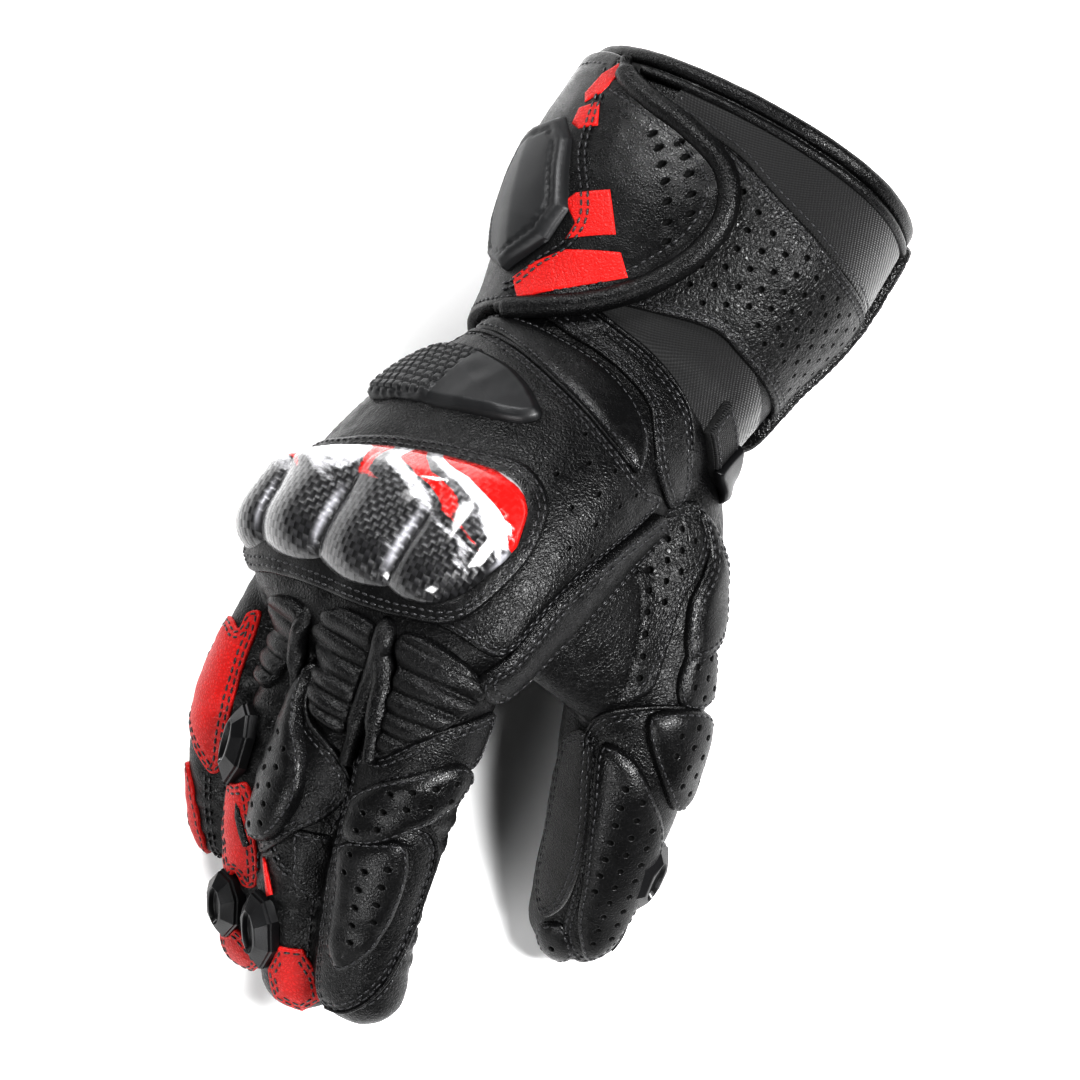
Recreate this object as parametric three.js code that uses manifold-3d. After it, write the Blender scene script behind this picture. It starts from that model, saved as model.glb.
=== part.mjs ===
import * as THREE from 'three';
import Module from 'manifold-3d';
import { mergeVertices } from 'three/addons/utils/BufferGeometryUtils.js';

const wasm = await Module();
wasm.setup();

// Sizes in millimetres. The glove is drawn in the hand's frame, X to the thumb, Y to the cuff
// and Z out of the back of the hand, and is then laid on the ground as it lies by itself.
const GAP = 0.35;
const SKIN = 1.8;
const PANEL = 1.5;
const PAD = 3.2;
const RUBBER = 4.2;
const GUARD_WALL = 2.4;
const GUARD_RISE = 8.5;
const CUFF_LAYER = 2.2;
const PIPING_RADIUS = 3.3;
const BINDING_RADIUS = 2.6;
const SLIDER_RISE = 5.5;
const WEBBING = 2;
const UP_WHEN_LAID = new THREE.Vector3(0.609, -0.234, 0.758).normalize();
const FLOOR_HEIGHT = -49.2;
const CENTRE_OF_BASE = [16.44, -40.3];
const LINING_AT_FLOOR = 1.4;

// Each limb is a bent tube: its middle line, and rows of station along it, half width,
// depth to the dorsal side and depth to the palm side.
const LIMB_SHAPES = {
  cuff: {
    path: [[-5, 86, 33], [-5, 48, 18], [-2, 10, 3], [0, -10, 2]],
    rows: [[0, 53, 40, 44], [35, 53, 39, 43], [68, 45, 33, 35], [101, 40, 29, 30]],
    up: [0.25, 0, 0.97], power: 2.2, tip: 0, around: 18, along: 4,
  },
  hand: {
    path: [[0, 14, 3], [0, -20, 6], [0, -55, 8], [0, -112, -3]],
    rows: [[0, 40, 29, 31], [25, 44, 28, 31], [70, 50, 26, 28], [114, 50, 20, 20], [130, 46, 16, 16]],
    up: [0, 0, 1], power: 2.3, tip: 26, around: 18, along: 4,
  },
  web: {
    path: [[28, -52, 0], [38, -50, -20], [46, -46, -44]],
    rows: [[0, 13, 30, 26], [26, 12, 26, 24], [52, 12, 20, 22]],
    up: [0, -1, 0], power: 2, tip: 0, around: 10, along: 3,
  },
  thumb: {
    path: [[14, 2, -10], [28, -14, -24], [43, -43, -50], [45, -70, -79], [38, -98, -119]],
    rows: [
      [0, 24, 20, 24], [35, 23, 20, 24], [70, 20, 19, 22],
      [100, 19, 17, 19], [130, 16, 14, 16], [160, 13.5, 12, 13],
    ],
    up: [0.7, 0.6, -0.4], power: 2.15, tip: 15, around: 12, along: 5,
  },
};

const FINGER_SHAPES = {
  index: {
    path: [[31, -75, 2], [31, -97, -3], [31.5, -128, -32], [30, -149, -56], [31, -165, -83]],
    size: [15.5, 15, 14],
  },
  middle: {
    path: [[9, -75, 4], [10, -97, -1], [6, -132, -30], [6, -153, -56], [10, -168, -87]],
    size: [14, 14, 14],
  },
  ring: {
    path: [[-12, -73, 2], [-14, -95, -3], [-17, -129, -33], [-16, -149, -61], [-14, -164, -89]],
    size: [13, 13.5, 13.5],
  },
  little: {
    path: [[-33, -68, -2], [-38, -88, -7], [-41, -121, -28], [-41, -135, -49], [-39, -146, -74]],
    size: [13, 13, 13],
  },
};
// A finger's share of its length, and its shares of half width, dorsal depth and palm depth there.
const FINGER_TAPER = [
  [0, 1, 1, 1], [0.35, 0.97, 0.97, 0.97], [0.6, 0.94, 0.95, 0.92],
  [0.8, 0.9, 0.85, 0.86], [1, 0.84, 0.75, 0.8],
];
const FINGER_TIP = 12;
const TIP_SHARES = [0.5, 0.85];
const CORNER_ROUNDS = 3;

const vec = (p) => new THREE.Vector3(...p);

function roundCorners(points) {
  let line = points.map(vec);
  for (let k = 0; k < CORNER_ROUNDS; k++) {
    const next = [line[0]];
    for (let i = 1; i < line.length; i++) {
      next.push(line[i - 1].clone().lerp(line[i], 0.25), line[i - 1].clone().lerp(line[i], 0.75));
    }
    next.push(line[line.length - 1]);
    line = next;
  }
  return line;
}

// A smooth value between the rows of a table whose first column is the station.
function between(rows, column, s) {
  const last = rows.length - 1;
  const at = Math.min(Math.max(s, rows[0][0]), rows[last][0]);
  let i = 0;
  while (i < last - 1 && at > rows[i + 1][0]) i++;
  const slope = (k) => {
    const a = rows[Math.max(k - 1, 0)];
    const b = rows[Math.min(k + 1, last)];
    return (b[column] - a[column]) / (b[0] - a[0]);
  };
  const h = rows[i + 1][0] - rows[i][0];
  const t = (at - rows[i][0]) / h;
  const start = (1 + 2 * t) * (1 - t) ** 2 * rows[i][column] + t * (1 - t) ** 2 * h * slope(i);
  return start + t * t * (3 - 2 * t) * rows[i + 1][column] + t * t * (t - 1) * h * slope(i + 1);
}

class Limb {
  constructor({ path, rows, up, power, tip, around, along }) {
    Object.assign(this, { rows, power, tip, around, along, up: vec(up), made: {} });
    this.line = roundCorners(path);
    this.marks = [0];
    for (let i = 1; i < this.line.length; i++) {
      this.marks.push(this.marks[i - 1] + this.line[i].distanceTo(this.line[i - 1]));
    }
    this.length = this.marks[this.marks.length - 1];
  }

  // The middle of a section, its thumb side and its dorsal side. Past an end the line runs straight on.
  section(s) {
    const last = this.line.length - 1;
    let i = 0;
    while (i < last - 1 && s > this.marks[i + 1]) i++;
    const step = this.line[i + 1].clone().sub(this.line[i]);
    const middle = this.line[i].clone().addScaledVector(step, (s - this.marks[i]) / step.length());
    const before = this.line[Math.max(i - 1, 0)];
    const after = this.line[Math.min(i + 2, last)];
    const along = after.clone().sub(before).normalize();
    const dorsal = this.up.clone().addScaledVector(along, -along.dot(this.up)).normalize();
    const side = dorsal.clone().cross(along);
    return { middle, side, dorsal };
  }

  // A point of the surface at a station, at degrees from the thumb side round over the back.
  point(s, degrees, lift = 0) {
    const { middle, side, dorsal } = this.section(s);
    const into = this.tip ? Math.min(Math.max((s - this.length + this.tip) / (this.tip + lift), 0), 1) : 0;
    const close = Math.sqrt(Math.max(1 - into ** 2.2, 0));
    const x = Math.cos(THREE.MathUtils.degToRad(degrees));
    const y = Math.sin(THREE.MathUtils.degToRad(degrees));
    const k = (Math.abs(x) ** this.power + Math.abs(y) ** this.power) ** (-1 / this.power) * close;
    const width = between(this.rows, 1, s) + lift;
    const depth = between(this.rows, y > 0 ? 2 : 3, s) + lift;
    return middle.addScaledVector(side, k * x * width).addScaledVector(dorsal, k * y * depth);
  }

  ring(s, lift) {
    const count = lift < 0 ? this.around - 2 : this.around;
    return Array.from({ length: count }, (_, i) => this.point(s, (360 * i) / count, lift));
  }

  // The stations of the rings. They stay where they are whatever the lift, so that layers keep apart.
  stations(lift, from) {
    const body = this.length - this.tip;
    const marks = Array.from({ length: this.along + 1 }, (_, i) => (body * i) / this.along);
    if (this.tip) marks.push(...TIP_SHARES.map((share) => body + (this.tip + lift) * share));
    else if (lift > 0) marks.push(this.length + lift);
    if (from > 0) marks[0] = from;
    if (from < 0) marks.unshift(from);
    return marks;
  }

  // The whole limb as a solid whose surface lies `lift` outside the drawn one, made once for each size.
  solid(lift = 0, from = -Math.max(lift, 0)) {
    const key = `solid ${lift} ${from}`;
    this.made[key] ??= lofted(
      this.stations(lift, from).map((s) => this.ring(s, lift)),
      this.tip ? this.section(this.length + lift).middle : null,
    );
    return this.made[key];
  }

  layer(low, high) {
    const key = `layer ${low} ${high}`;
    this.made[key] ??= this.solid(high).subtract(this.solid(low));
    return this.made[key];
  }
}

// A manifold solid from a closed three.js geometry, its doubled vertices merged.
function solidOf(geometry) {
  geometry.deleteAttribute('normal');
  geometry.deleteAttribute('uv');
  const merged = mergeVertices(geometry, 1e-4);
  const index = merged.index.array;
  const kept = [];
  for (let i = 0; i < index.length; i += 3) {
    const [a, b, c] = [index[i], index[i + 1], index[i + 2]];
    if (a !== b && b !== c && c !== a) kept.push(a, b, c);
  }
  return new wasm.Manifold(new wasm.Mesh({
    numProp: 3,
    vertProperties: Float32Array.from(merged.attributes.position.array),
    triVerts: Uint32Array.from(kept),
  }));
}

function toSolid(vertices, faces) {
  const geometry = new THREE.BufferGeometry();
  const numbers = vertices.flatMap((v) => v.toArray());
  geometry.setAttribute('position', new THREE.Float32BufferAttribute(numbers, 3));
  geometry.setIndex(faces.flat());
  return solidOf(geometry);
}

// A closed body through rings of equal count. It ends flat, or in the point `tip`.
function lofted(rings, tip = null) {
  const count = rings[0].length;
  const vertices = rings.flat();
  const faces = [];
  for (let r = 1; r < rings.length; r++) {
    for (let i = 0; i < count; i++) {
      const a = (r - 1) * count + i;
      const b = (r - 1) * count + ((i + 1) % count);
      faces.push([a, b, b + count], [a, b + count, a + count]);
    }
  }
  const middle = (ring) => ring.reduce((sum, p) => sum.add(p), new THREE.Vector3()).divideScalar(count);
  const last = rings.length - 1;
  vertices.push(middle(rings[0]), tip ?? middle(rings[last]));
  for (let i = 0; i < count; i++) {
    const next = (i + 1) % count;
    faces.push([next, i, vertices.length - 2], [last * count + i, last * count + next, vertices.length - 1]);
  }
  return outward(vertices, faces);
}

// Turns the faces over where they point into the body.
function outward(vertices, faces) {
  let volume = 0;
  for (const [a, b, c] of faces) {
    volume += vertices[a].dot(vertices[b].clone().cross(vertices[c]));
  }
  return toSolid(vertices, volume < 0 ? faces.map((face) => face.slice().reverse()) : faces);
}

// A closed ring of tube, such as the binding of a rim.
function hoop(rings) {
  const count = rings[0].length;
  const faces = [];
  rings.forEach((ring, r) => {
    const next = (r + 1) % rings.length;
    for (let i = 0; i < count; i++) {
      const j = (i + 1) % count;
      const [a, b, c, d] = [r * count + i, r * count + j, next * count + j, next * count + i];
      faces.push([a, b, c], [a, c, d]);
    }
  });
  return outward(rings.flat(), faces);
}

// A sheet over a limb from rows of station, first and last degrees, or where it is `turned`
// of degrees, first and last station. Low and high are its two lifts.
function wrapped(limb, rows, low, high, { across = 8, along = 6, turned = false } = {}) {
  const first = rows[0][0];
  const last = rows[rows.length - 1][0];
  const lift = (value, u, v) => (typeof value === 'function' ? value(u, v) : value);
  const layer = (value) => {
    const points = [];
    for (let j = 0; j <= along; j++) {
      const v = j / along;
      const s = first + (last - first) * v;
      const from = between(rows, 1, s);
      const to = between(rows, 2, s);
      for (let i = 0; i <= across; i++) {
        const u = i / across;
        const place = turned ? [from + (to - from) * u, s] : [s, from + (to - from) * u];
        points.push(limb.point(...place, lift(value, u, v)));
      }
    }
    return points;
  };
  const vertices = [...layer(low), ...layer(high)];
  const row = across + 1;
  const size = row * (along + 1);
  const faces = [];
  for (let j = 0; j < along; j++) {
    for (let i = 0; i < across; i++) {
      const a = j * row + i;
      const quad = [a, a + 1, a + row + 1, a + row];
      faces.push([quad[0], quad[1], quad[2]], [quad[0], quad[2], quad[3]]);
      const top = quad.map((k) => k + size);
      faces.push([top[2], top[1], top[0]], [top[3], top[2], top[0]]);
    }
  }
  const edge = [];
  for (let i = 0; i < across; i++) edge.push(i);
  for (let j = 0; j < along; j++) edge.push(across + j * row);
  for (let i = across; i > 0; i--) edge.push(along * row + i);
  for (let j = along; j > 0; j--) edge.push(j * row);
  edge.forEach((a, k) => {
    const b = edge[(k + 1) % edge.length];
    faces.push([b, a, a + size], [b, a + size, b + size]);
  });
  return outward(vertices, faces);
}

// The part of a limb's even layer that lies under such rows.
function draped(limb, rows, low, high, options) {
  return limb.layer(low, high).intersect(wrapped(limb, rows, low - 3, high + 3, options));
}

// A smooth closed outline through station and degree points, as a list of such points.
function outlined(points, steps = 3) {
  const corners = points.map(([s, d]) => new THREE.Vector3(s, d, 0));
  const curve = new THREE.CatmullRomCurve3(corners, true, 'centripetal');
  return curve.getPoints(points.length * steps).slice(0, -1).map((p) => [p.x, p.y]);
}

// The part of a limb's layer that lies inside an outline, cut out as with a punch.
function punched(limb, points, low, high, { steps = 2, reach = 26 } = {}) {
  const edge = outlined(points, steps);
  const rings = [low - 4, high + reach].map((lift) => edge.map(([s, d]) => limb.point(s, d, lift)));
  const count = edge.length;
  const faces = [];
  for (let i = 0; i < count; i++) {
    const j = (i + 1) % count;
    faces.push([i, j, count + j], [i, count + j, count + i]);
  }
  const flat = edge.map(([s, d]) => new THREE.Vector2(s, d));
  const clockwise = THREE.ShapeUtils.isClockWise(flat);
  const corners = clockwise ? flat.slice().reverse() : flat;
  for (const triangle of THREE.ShapeUtils.triangulateShape(corners, [])) {
    const [i, j, k] = clockwise ? triangle.map((n) => count - 1 - n).reverse() : triangle;
    faces.push([k, j, i], [count + i, count + j, count + k]);
  }
  return limb.layer(low, high).intersect(outward([...rings[0], ...rings[1]], faces));
}

// A round roll along points of the surface, such as a piping or a welt.
// Grown, it cuts its own seat and is longer at both ends.
function roll(path, size, steps, { sides = 8, grow = 0 } = {}) {
  const radius = size + grow;
  const longer = (end, next) => end.clone().addScaledVector(end.clone().sub(next).normalize(), grow);
  const last = path.length - 1;
  const points = [longer(path[0], path[1]), ...path.slice(1, last), longer(path[last], path[last - 1])];
  const curve = new THREE.CatmullRomCurve3(points, false, 'centripetal');
  const frames = curve.computeFrenetFrames(steps, false);
  const rings = curve.getPoints(steps).map((centre, i) => Array.from({ length: sides }, (_, k) => {
    const angle = (2 * Math.PI * k) / sides;
    return centre.clone()
      .addScaledVector(frames.normals[i], radius * Math.cos(angle))
      .addScaledVector(frames.binormals[i], radius * Math.sin(angle));
  }));
  return lofted(rings);
}

// A hard pointed oval button along a limb, from rows of lift and share of the full outline.
// A grown one, wider all round, cuts its seat in a pad.
function button(limb, [station, degrees], [long, wide], grow = 0) {
  const [length, width] = [long + 2 * grow, wide + 2 * grow];
  const rise = SLIDER_RISE + grow;
  const rows = [[-1, 1], [rise * 0.55, 0.94], [rise, 0.5]];
  const side = [[-0.5, 0], [-0.32, 0.38], [0, 0.5], [0.32, 0.38]];
  const corners = [...side, ...side.map(([s, d]) => [-s, -d])];
  const perDegree = limb.point(station, degrees).distanceTo(limb.point(station, degrees + 1));
  const body = lofted(rows.map(([lift, share]) => corners.map(([s, d]) => limb.point(
    station + s * length * share, degrees + (d * width * share) / perDegree, lift))));
  return body.subtract(limb.solid(GAP));
}

const limbs = {};
for (const [name, shape] of Object.entries(LIMB_SHAPES)) limbs[name] = new Limb(shape);
for (const [name, { path, size }] of Object.entries(FINGER_SHAPES)) {
  const bare = new Limb({ path, rows: [[0, ...size], [1, ...size]], up: [0, 0, 1] });
  const rows = FINGER_TAPER.map(([part, ...k]) => [bare.length * part, ...size.map((v, i) => v * k[i])]);
  limbs[name] = new Limb({ path, rows, up: [0, 0, 1], power: 2.15, tip: FINGER_TIP, around: 10, along: 4 });
}

// The ground under the laid glove, as a block whose top lies `height` above it.
const laid = new THREE.Matrix4();
{
  const up = UP_WHEN_LAID;
  const ahead = new THREE.Vector3(0, 1, 0).addScaledVector(up, -up.y).normalize();
  const right = ahead.clone().cross(up);
  laid.makeBasis(right, ahead, up).invert();
  const [x, y] = CENTRE_OF_BASE;
  laid.premultiply(new THREE.Matrix4().makeTranslation(-x, -y, -FLOOR_HEIGHT));
}

function ground(height) {
  const depth = 60;
  const box = new THREE.BoxGeometry(500, 500, depth);
  box.translate(0, 0, height - depth / 2);
  return solidOf(box.applyMatrix4(laid.clone().invert()));
}

const floor = ground(0);
const raisedFloor = ground(LINING_AT_FLOOR);

// A block of the hand's frame between two corners.
function block(low, high) {
  const box = new THREE.BoxGeometry(high[0] - low[0], high[1] - low[1], high[2] - low[2]);
  return solidOf(box.translate((high[0] + low[0]) / 2, (high[1] + low[1]) / 2, (high[2] + low[2]) / 2));
}

const united = (solids) => solids.reduce((sum, solid) => sum.add(solid));
const without = (solid, cutters) => cutters.reduce((rest, cutter) => rest.subtract(cutter), solid);

const glove = new THREE.Group();
const finishes = {
  leather: { color: 0x17181a, roughness: 0.55, metalness: 0 },
  grain: { color: 0x1c1d1f, roughness: 0.6, metalness: 0 },
  stretch: { color: 0x101113, roughness: 0.9, metalness: 0 },
  suede: { color: 0x151515, roughness: 0.95, metalness: 0 },
  rubber: { color: 0x26282b, roughness: 0.5, metalness: 0 },
  red: { color: 0xd8201f, roughness: 0.5, metalness: 0 },
  carbon: { color: 0x3a3b3d, roughness: 0.15, metalness: 0.1 },
  webbing: { color: 0x141414, roughness: 0.85, metalness: 0 },
};

function addPiece(name, solid, finish) {
  const [kept] = solid.subtract(floor).decompose().sort((a, b) => b.volume() - a.volume());
  const { vertProperties, triVerts } = kept.getMesh();
  const geometry = new THREE.BufferGeometry();
  geometry.setAttribute('position', new THREE.BufferAttribute(vertProperties, 3));
  geometry.setIndex(new THREE.BufferAttribute(triVerts, 1));
  geometry.applyMatrix4(laid);
  const mesh = new THREE.Mesh(geometry, new THREE.MeshStandardMaterial(finishes[finish]));
  mesh.name = name;
  glove.add(mesh);
}

// The base: leather walls over one open hollow from the cuff to the fingertips.
const WRIST_TOP = 27;
const WRIST_BOTTOM = 3;
const SIDE_SEAM = -5;
const FAR = 300;
const FINGERS = ['index', 'middle', 'ring', 'little'];
const CUFF_OPEN = -6;
const RIM = 2.6;

const hollow = united([
  limbs.cuff.solid(-SKIN, CUFF_OPEN), limbs.hand.solid(-SKIN),
  limbs.web.solid(-SKIN), limbs.thumb.solid(-SKIN),
  ...FINGERS.map((name) => limbs[name].solid(-SKIN)),
]).subtract(raisedFloor);
const palmMass = united([limbs.hand.solid(), limbs.web.solid(), limbs.cuff.solid()]);
const palmClear = united([
  limbs.hand.solid(GAP), limbs.web.solid(GAP), limbs.cuff.solid(GAP),
]);
const above = (y) => block([-FAR, y, -FAR], [FAR, FAR, FAR]);
const below = (y) => block([-FAR, -FAR, -FAR], [FAR, y, FAR]);

const sleeve = limbs.cuff.solid(0, RIM).subtract(hollow);
addPiece('cuff_sleeve', sleeve.intersect(above(WRIST_TOP + GAP)), 'leather');
addPiece('wrist_stretch',
  palmMass.subtract(hollow).intersect(below(WRIST_TOP)).intersect(above(WRIST_BOTTOM + GAP)), 'stretch');
const handShell = palmMass.subtract(hollow).intersect(below(WRIST_BOTTOM));
addPiece('hand_back', handShell.intersect(block([-FAR, -FAR, SIDE_SEAM + GAP], [FAR, FAR, FAR])), 'leather');
addPiece('palm', handShell.intersect(block([-FAR, -FAR, -FAR], [FAR, FAR, SIDE_SEAM])), 'leather');
addPiece('thumb', limbs.thumb.solid().subtract(hollow).subtract(palmClear), 'leather');
FINGERS.forEach((name, k) => {
  const neighbours = FINGERS.slice(0, k).map((other) => limbs[other].solid(GAP));
  const wall = limbs[name].solid().subtract(hollow);
  addPiece(`${name}_finger`, without(wall, [palmClear, ...neighbours]), 'leather');
});

const clearOfLimbs = (solid, names) => without(solid, names.map((name) => limbs[name].solid(GAP)));
const TOP = GAP + PANEL;

// The cuff: a rolled rim, a smooth band and a perforated panel on the sleeve, then the underlap
// of the palm side and the closing flap with its thick piping.
const { cuff, hand, thumb, index, middle, ring, little } = limbs;
const rimAlong = cuff.section(5).middle.clone().sub(cuff.section(0).middle).normalize();
const RIM_SIDES = 6;
addPiece('rim_binding', hoop(cuff.ring(-0.4, -SKIN / 2).map((centre) => {
  const out = centre.clone().sub(cuff.section(0).middle).normalize();
  return Array.from({ length: RIM_SIDES }, (_, k) => {
    const angle = (2 * Math.PI * k) / RIM_SIDES;
    return centre.clone()
      .addScaledVector(out, BINDING_RADIUS * Math.cos(angle))
      .addScaledVector(rimAlong, BINDING_RADIUS * Math.sin(angle));
  });
})), 'leather');
const bandRows = [[-24, 3, 26], [24, 3, 25], [44, 3, 22], [59, 3, 19], [73, 3, 14.5], [100, 3, 11]];
addPiece('cuff_band', draped(cuff, bandRows, GAP, TOP, { turned: true, along: 6, across: 1 }), 'leather');
const panelRows = [
  [-24, 27, 68], [17, 27, 67], [34, 25, 66], [50, 22, 64], [71, 16.5, 68], [86, 14, 71], [100, 12.5, 74],
];
addPiece('cuff_panel', draped(cuff, panelRows, GAP, TOP, { turned: true, along: 6, across: 1 }), 'grain');
const OVERLAP = TOP + GAP;
const LAYER_TOP = OVERLAP + CUFF_LAYER;
const underlapRows = [[3, 221, 341], [35, 219, 338], [74, 222, 332]];
addPiece('cuff_underlap', draped(cuff, underlapRows, OVERLAP, LAYER_TOP, { across: 4, along: 2 }), 'grain');
const flapRows = [
  [3, 126, 216], [8, 124, 216], [12, 109, 216], [17, 87, 216], [24, 73, 216], [32, 69, 216],
  [45, 70, 216], [57, 77, 216], [71, 91, 216], [83, 113, 216], [89, 132, 216],
];
const pipingPath = [
  [6, 122], [9, 118], [13, 105], [16, 90], [22, 74], [32, 67.5],
  [45, 68], [58, 75], [72, 90], [85, 113], [92, 132],
];
const pipingLine = pipingPath.map(([s, d]) => cuff.point(s, d, OVERLAP + 1.2));
const PIPING_STEPS = 14;
const flapSheet = draped(cuff, flapRows, OVERLAP, LAYER_TOP, { across: 3, along: 7 });
const pipingSeat = roll(pipingLine, PIPING_RADIUS, PIPING_STEPS, { grow: GAP });
addPiece('cuff_flap', flapSheet.subtract(pipingSeat), 'grain');
const piping = roll(pipingLine, PIPING_RADIUS, PIPING_STEPS);
addPiece('flap_piping', piping.subtract(cuff.solid(OVERLAP)), 'leather');
const plateOutline = [[25, 130], [39, 120], [51, 115], [60, 117], [67, 140], [60, 160], [42, 163], [27, 152]];
const plate = punched(cuff, plateOutline, LAYER_TOP + GAP, LAYER_TOP + GAP + RUBBER, { steps: 1, reach: 30 });
addPiece('cuff_plate', plate, 'rubber');

// The wrist and the back of the hand.
const cuffClear = cuff.solid(GAP);
const wristPanel = [
  [8, 138], [9, 103], [10.5, 76], [12, 54], [13, 30], [16, 10], [19, -18], [29, -20], [34, 5],
  [31, 24], [23.5, 38], [19.5, 55], [19.5, 90], [20, 138],
];
const wristSheet = punched(hand, wristPanel, GAP, TOP, { steps: 1, reach: 60 });
addPiece('wrist_panel', wristSheet.subtract(cuffClear), 'leather');
const leafOutline = [
  [24, 95], [23, 71], [23.5, 56], [29, 40], [37, 29], [42, 40], [34, 70], [27, 97], [25, 126],
];
const leaf = punched(hand, leafOutline, GAP, TOP + 0.8, { steps: 1 });
addPiece('wrist_leaf', leaf.subtract(cuffClear), 'leather');
const backPlateOutline = [
  [45, 148], [39, 130], [39, 100], [41, 84], [45, 74], [50, 67], [55, 70], [60, 90], [63, 116], [63, 148],
];
addPiece('back_plate', punched(hand, backPlateOutline, GAP, GAP + RUBBER, { steps: 1, reach: 40 }), 'rubber');
const STRAP_LOW = TOP + GAP;
const strapRows = [[0, -52, 12], [12, -52, 8]];
const strap = draped(hand, strapRows, STRAP_LOW, STRAP_LOW + WEBBING, { across: 4, along: 1 });
addPiece('wrist_strap', clearOfLimbs(strap, ['cuff', 'thumb']), 'webbing');
const tabRows = [[0, -50, -14], [12, -50, -14]];
const TAB_LOW = STRAP_LOW + WEBBING + GAP;
const tab = draped(hand, tabRows, TAB_LOW, TAB_LOW + WEBBING, { across: 3, along: 1 });
addPiece('strap_tab', clearOfLimbs(tab, ['cuff', 'thumb']), 'rubber');

// The knuckle guard: a hard shell with four lobes, in a padded rim.
const guardRows = [
  [41, 79, 87], [46, 71, 99], [57, 67, 106], [75, 69, 109],
  [98, 73, 110], [125, 79, 111], [145, 83, 111], [158, 88, 108],
];
const GUARD_LOBES = 4;
const GUARD_STEPS = GUARD_LOBES * 3;
const VALLEY_DEPTH = 2.2;
const dome = (t, sharp) => (1 - Math.abs(2 * t - 1) ** sharp) ** 0.7;
const guardRise = (u, v) => {
  const crest = Math.abs(Math.sin(Math.PI * GUARD_LOBES * v)) ** 0.6;
  const depth = VALLEY_DEPTH * Math.min(1, u * 2.5) * (1 - crest);
  return GAP + 1.2 + (GUARD_RISE - depth) * dome(u, 3) * dome(v, 5);
};
const guardUnder = (u, v) => Math.max(0, guardRise(u, v) - GUARD_WALL);
const guardMesh = { turned: true, along: GUARD_STEPS, across: 4 };
const guard = wrapped(hand, guardRows, guardUnder, guardRise, guardMesh);
addPiece('knuckle_guard', guard.subtract(hand.solid(GAP)), 'carbon');
const guardRimRows = [
  [35, 78, 88], [41, 67, 104], [57, 62, 111], [75, 65, 114],
  [98, 69, 115], [125, 75, 116], [147, 78, 116], [163, 85, 111],
];
const RIM_TOP = GAP + 2;
const rimSheet = draped(hand, guardRimRows, GAP, RIM_TOP, { turned: true, along: 8, across: 1 });
const holeRows = guardRows.map(([d, from, to]) => [d + (d - 98) * 0.015, from - 0.7, to + 0.7]);
const guardHole = wrapped(hand, holeRows, -1, RIM_TOP + 4, { turned: true, along: GUARD_STEPS, across: 1 });
addPiece('guard_rim', rimSheet.subtract(guardHole), 'leather');
const stripOutline = [
  [36, -24], [38, -10], [50, -4], [64, 2], [80, 8], [100, 10],
  [112, 8], [110, -24], [94, -25], [77, -28], [53, -28],
];
const strip = punched(hand, stripOutline, GAP, TOP + 1, { steps: 1 });
addPiece('radial_strip', clearOfLimbs(strip, ['index', 'thumb', 'web']), 'leather');
const palmPatches = {
  palm_heel_patch: [[18, 196], [18, 250], [22, 300], [44, 296], [52, 250], [48, 200]],
  palm_grip_patch: [[60, 210], [58, 250], [62, 300], [92, 304], [98, 260], [94, 212]],
};
for (const [name, outline] of Object.entries(palmPatches)) {
  const patch = punched(hand, outline, GAP, TOP, { steps: 1, reach: 40 });
  addPiece(name, clearOfLimbs(patch, ['cuff', 'thumb', 'web', ...FINGERS]), 'suede');
}

// The fingers' ribs, welts and overlays, each clear of the hand and of the fingers beside it.
const handAndRim = united([hand.solid(RIM_TOP + GAP), palmClear]);
const beside = (limb) => FINGERS.filter((name) => limbs[name] !== limb);
const ribPanels = [
  ['ribs_index', index, [[20, 42, 100], [27, 42, 98], [34, 58, 97], [41, 80, 96]], 5],
  ['ribs_middle', middle, [[22, 68, 128], [36, 54, 128], [48, 50, 104]], 5],
  ['ribs_ring', ring, [[28, 84, 128], [38, 88, 128], [48, 96, 128]], 4],
];
for (const [name, limb, rows, count] of ribPanels) {
  const wave = (u, v) => GAP + 1 + 1.5 * Math.abs(Math.sin(Math.PI * count * v));
  const sheet = wrapped(limb, rows, 0, wave, { across: 3, along: count * 2 });
  addPiece(name, clearOfLimbs(sheet.subtract(handAndRim), FINGERS), 'leather');
}
const WELT_RADIUS = 2;
const welts = [
  ['welt_near', middle, [[20, 57], [37, 44], [54, 38]]],
  ['welt_far', index, [[20, 124], [34, 110], [47, 107]]],
];
for (const [name, limb, path] of welts) {
  const body = roll(path.map(([s, d]) => limb.point(s, d, GAP + WELT_RADIUS)), WELT_RADIUS, 6, { sides: 6 });
  addPiece(name, clearOfLimbs(body.subtract(handAndRim), FINGERS), 'leather');
}
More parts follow.
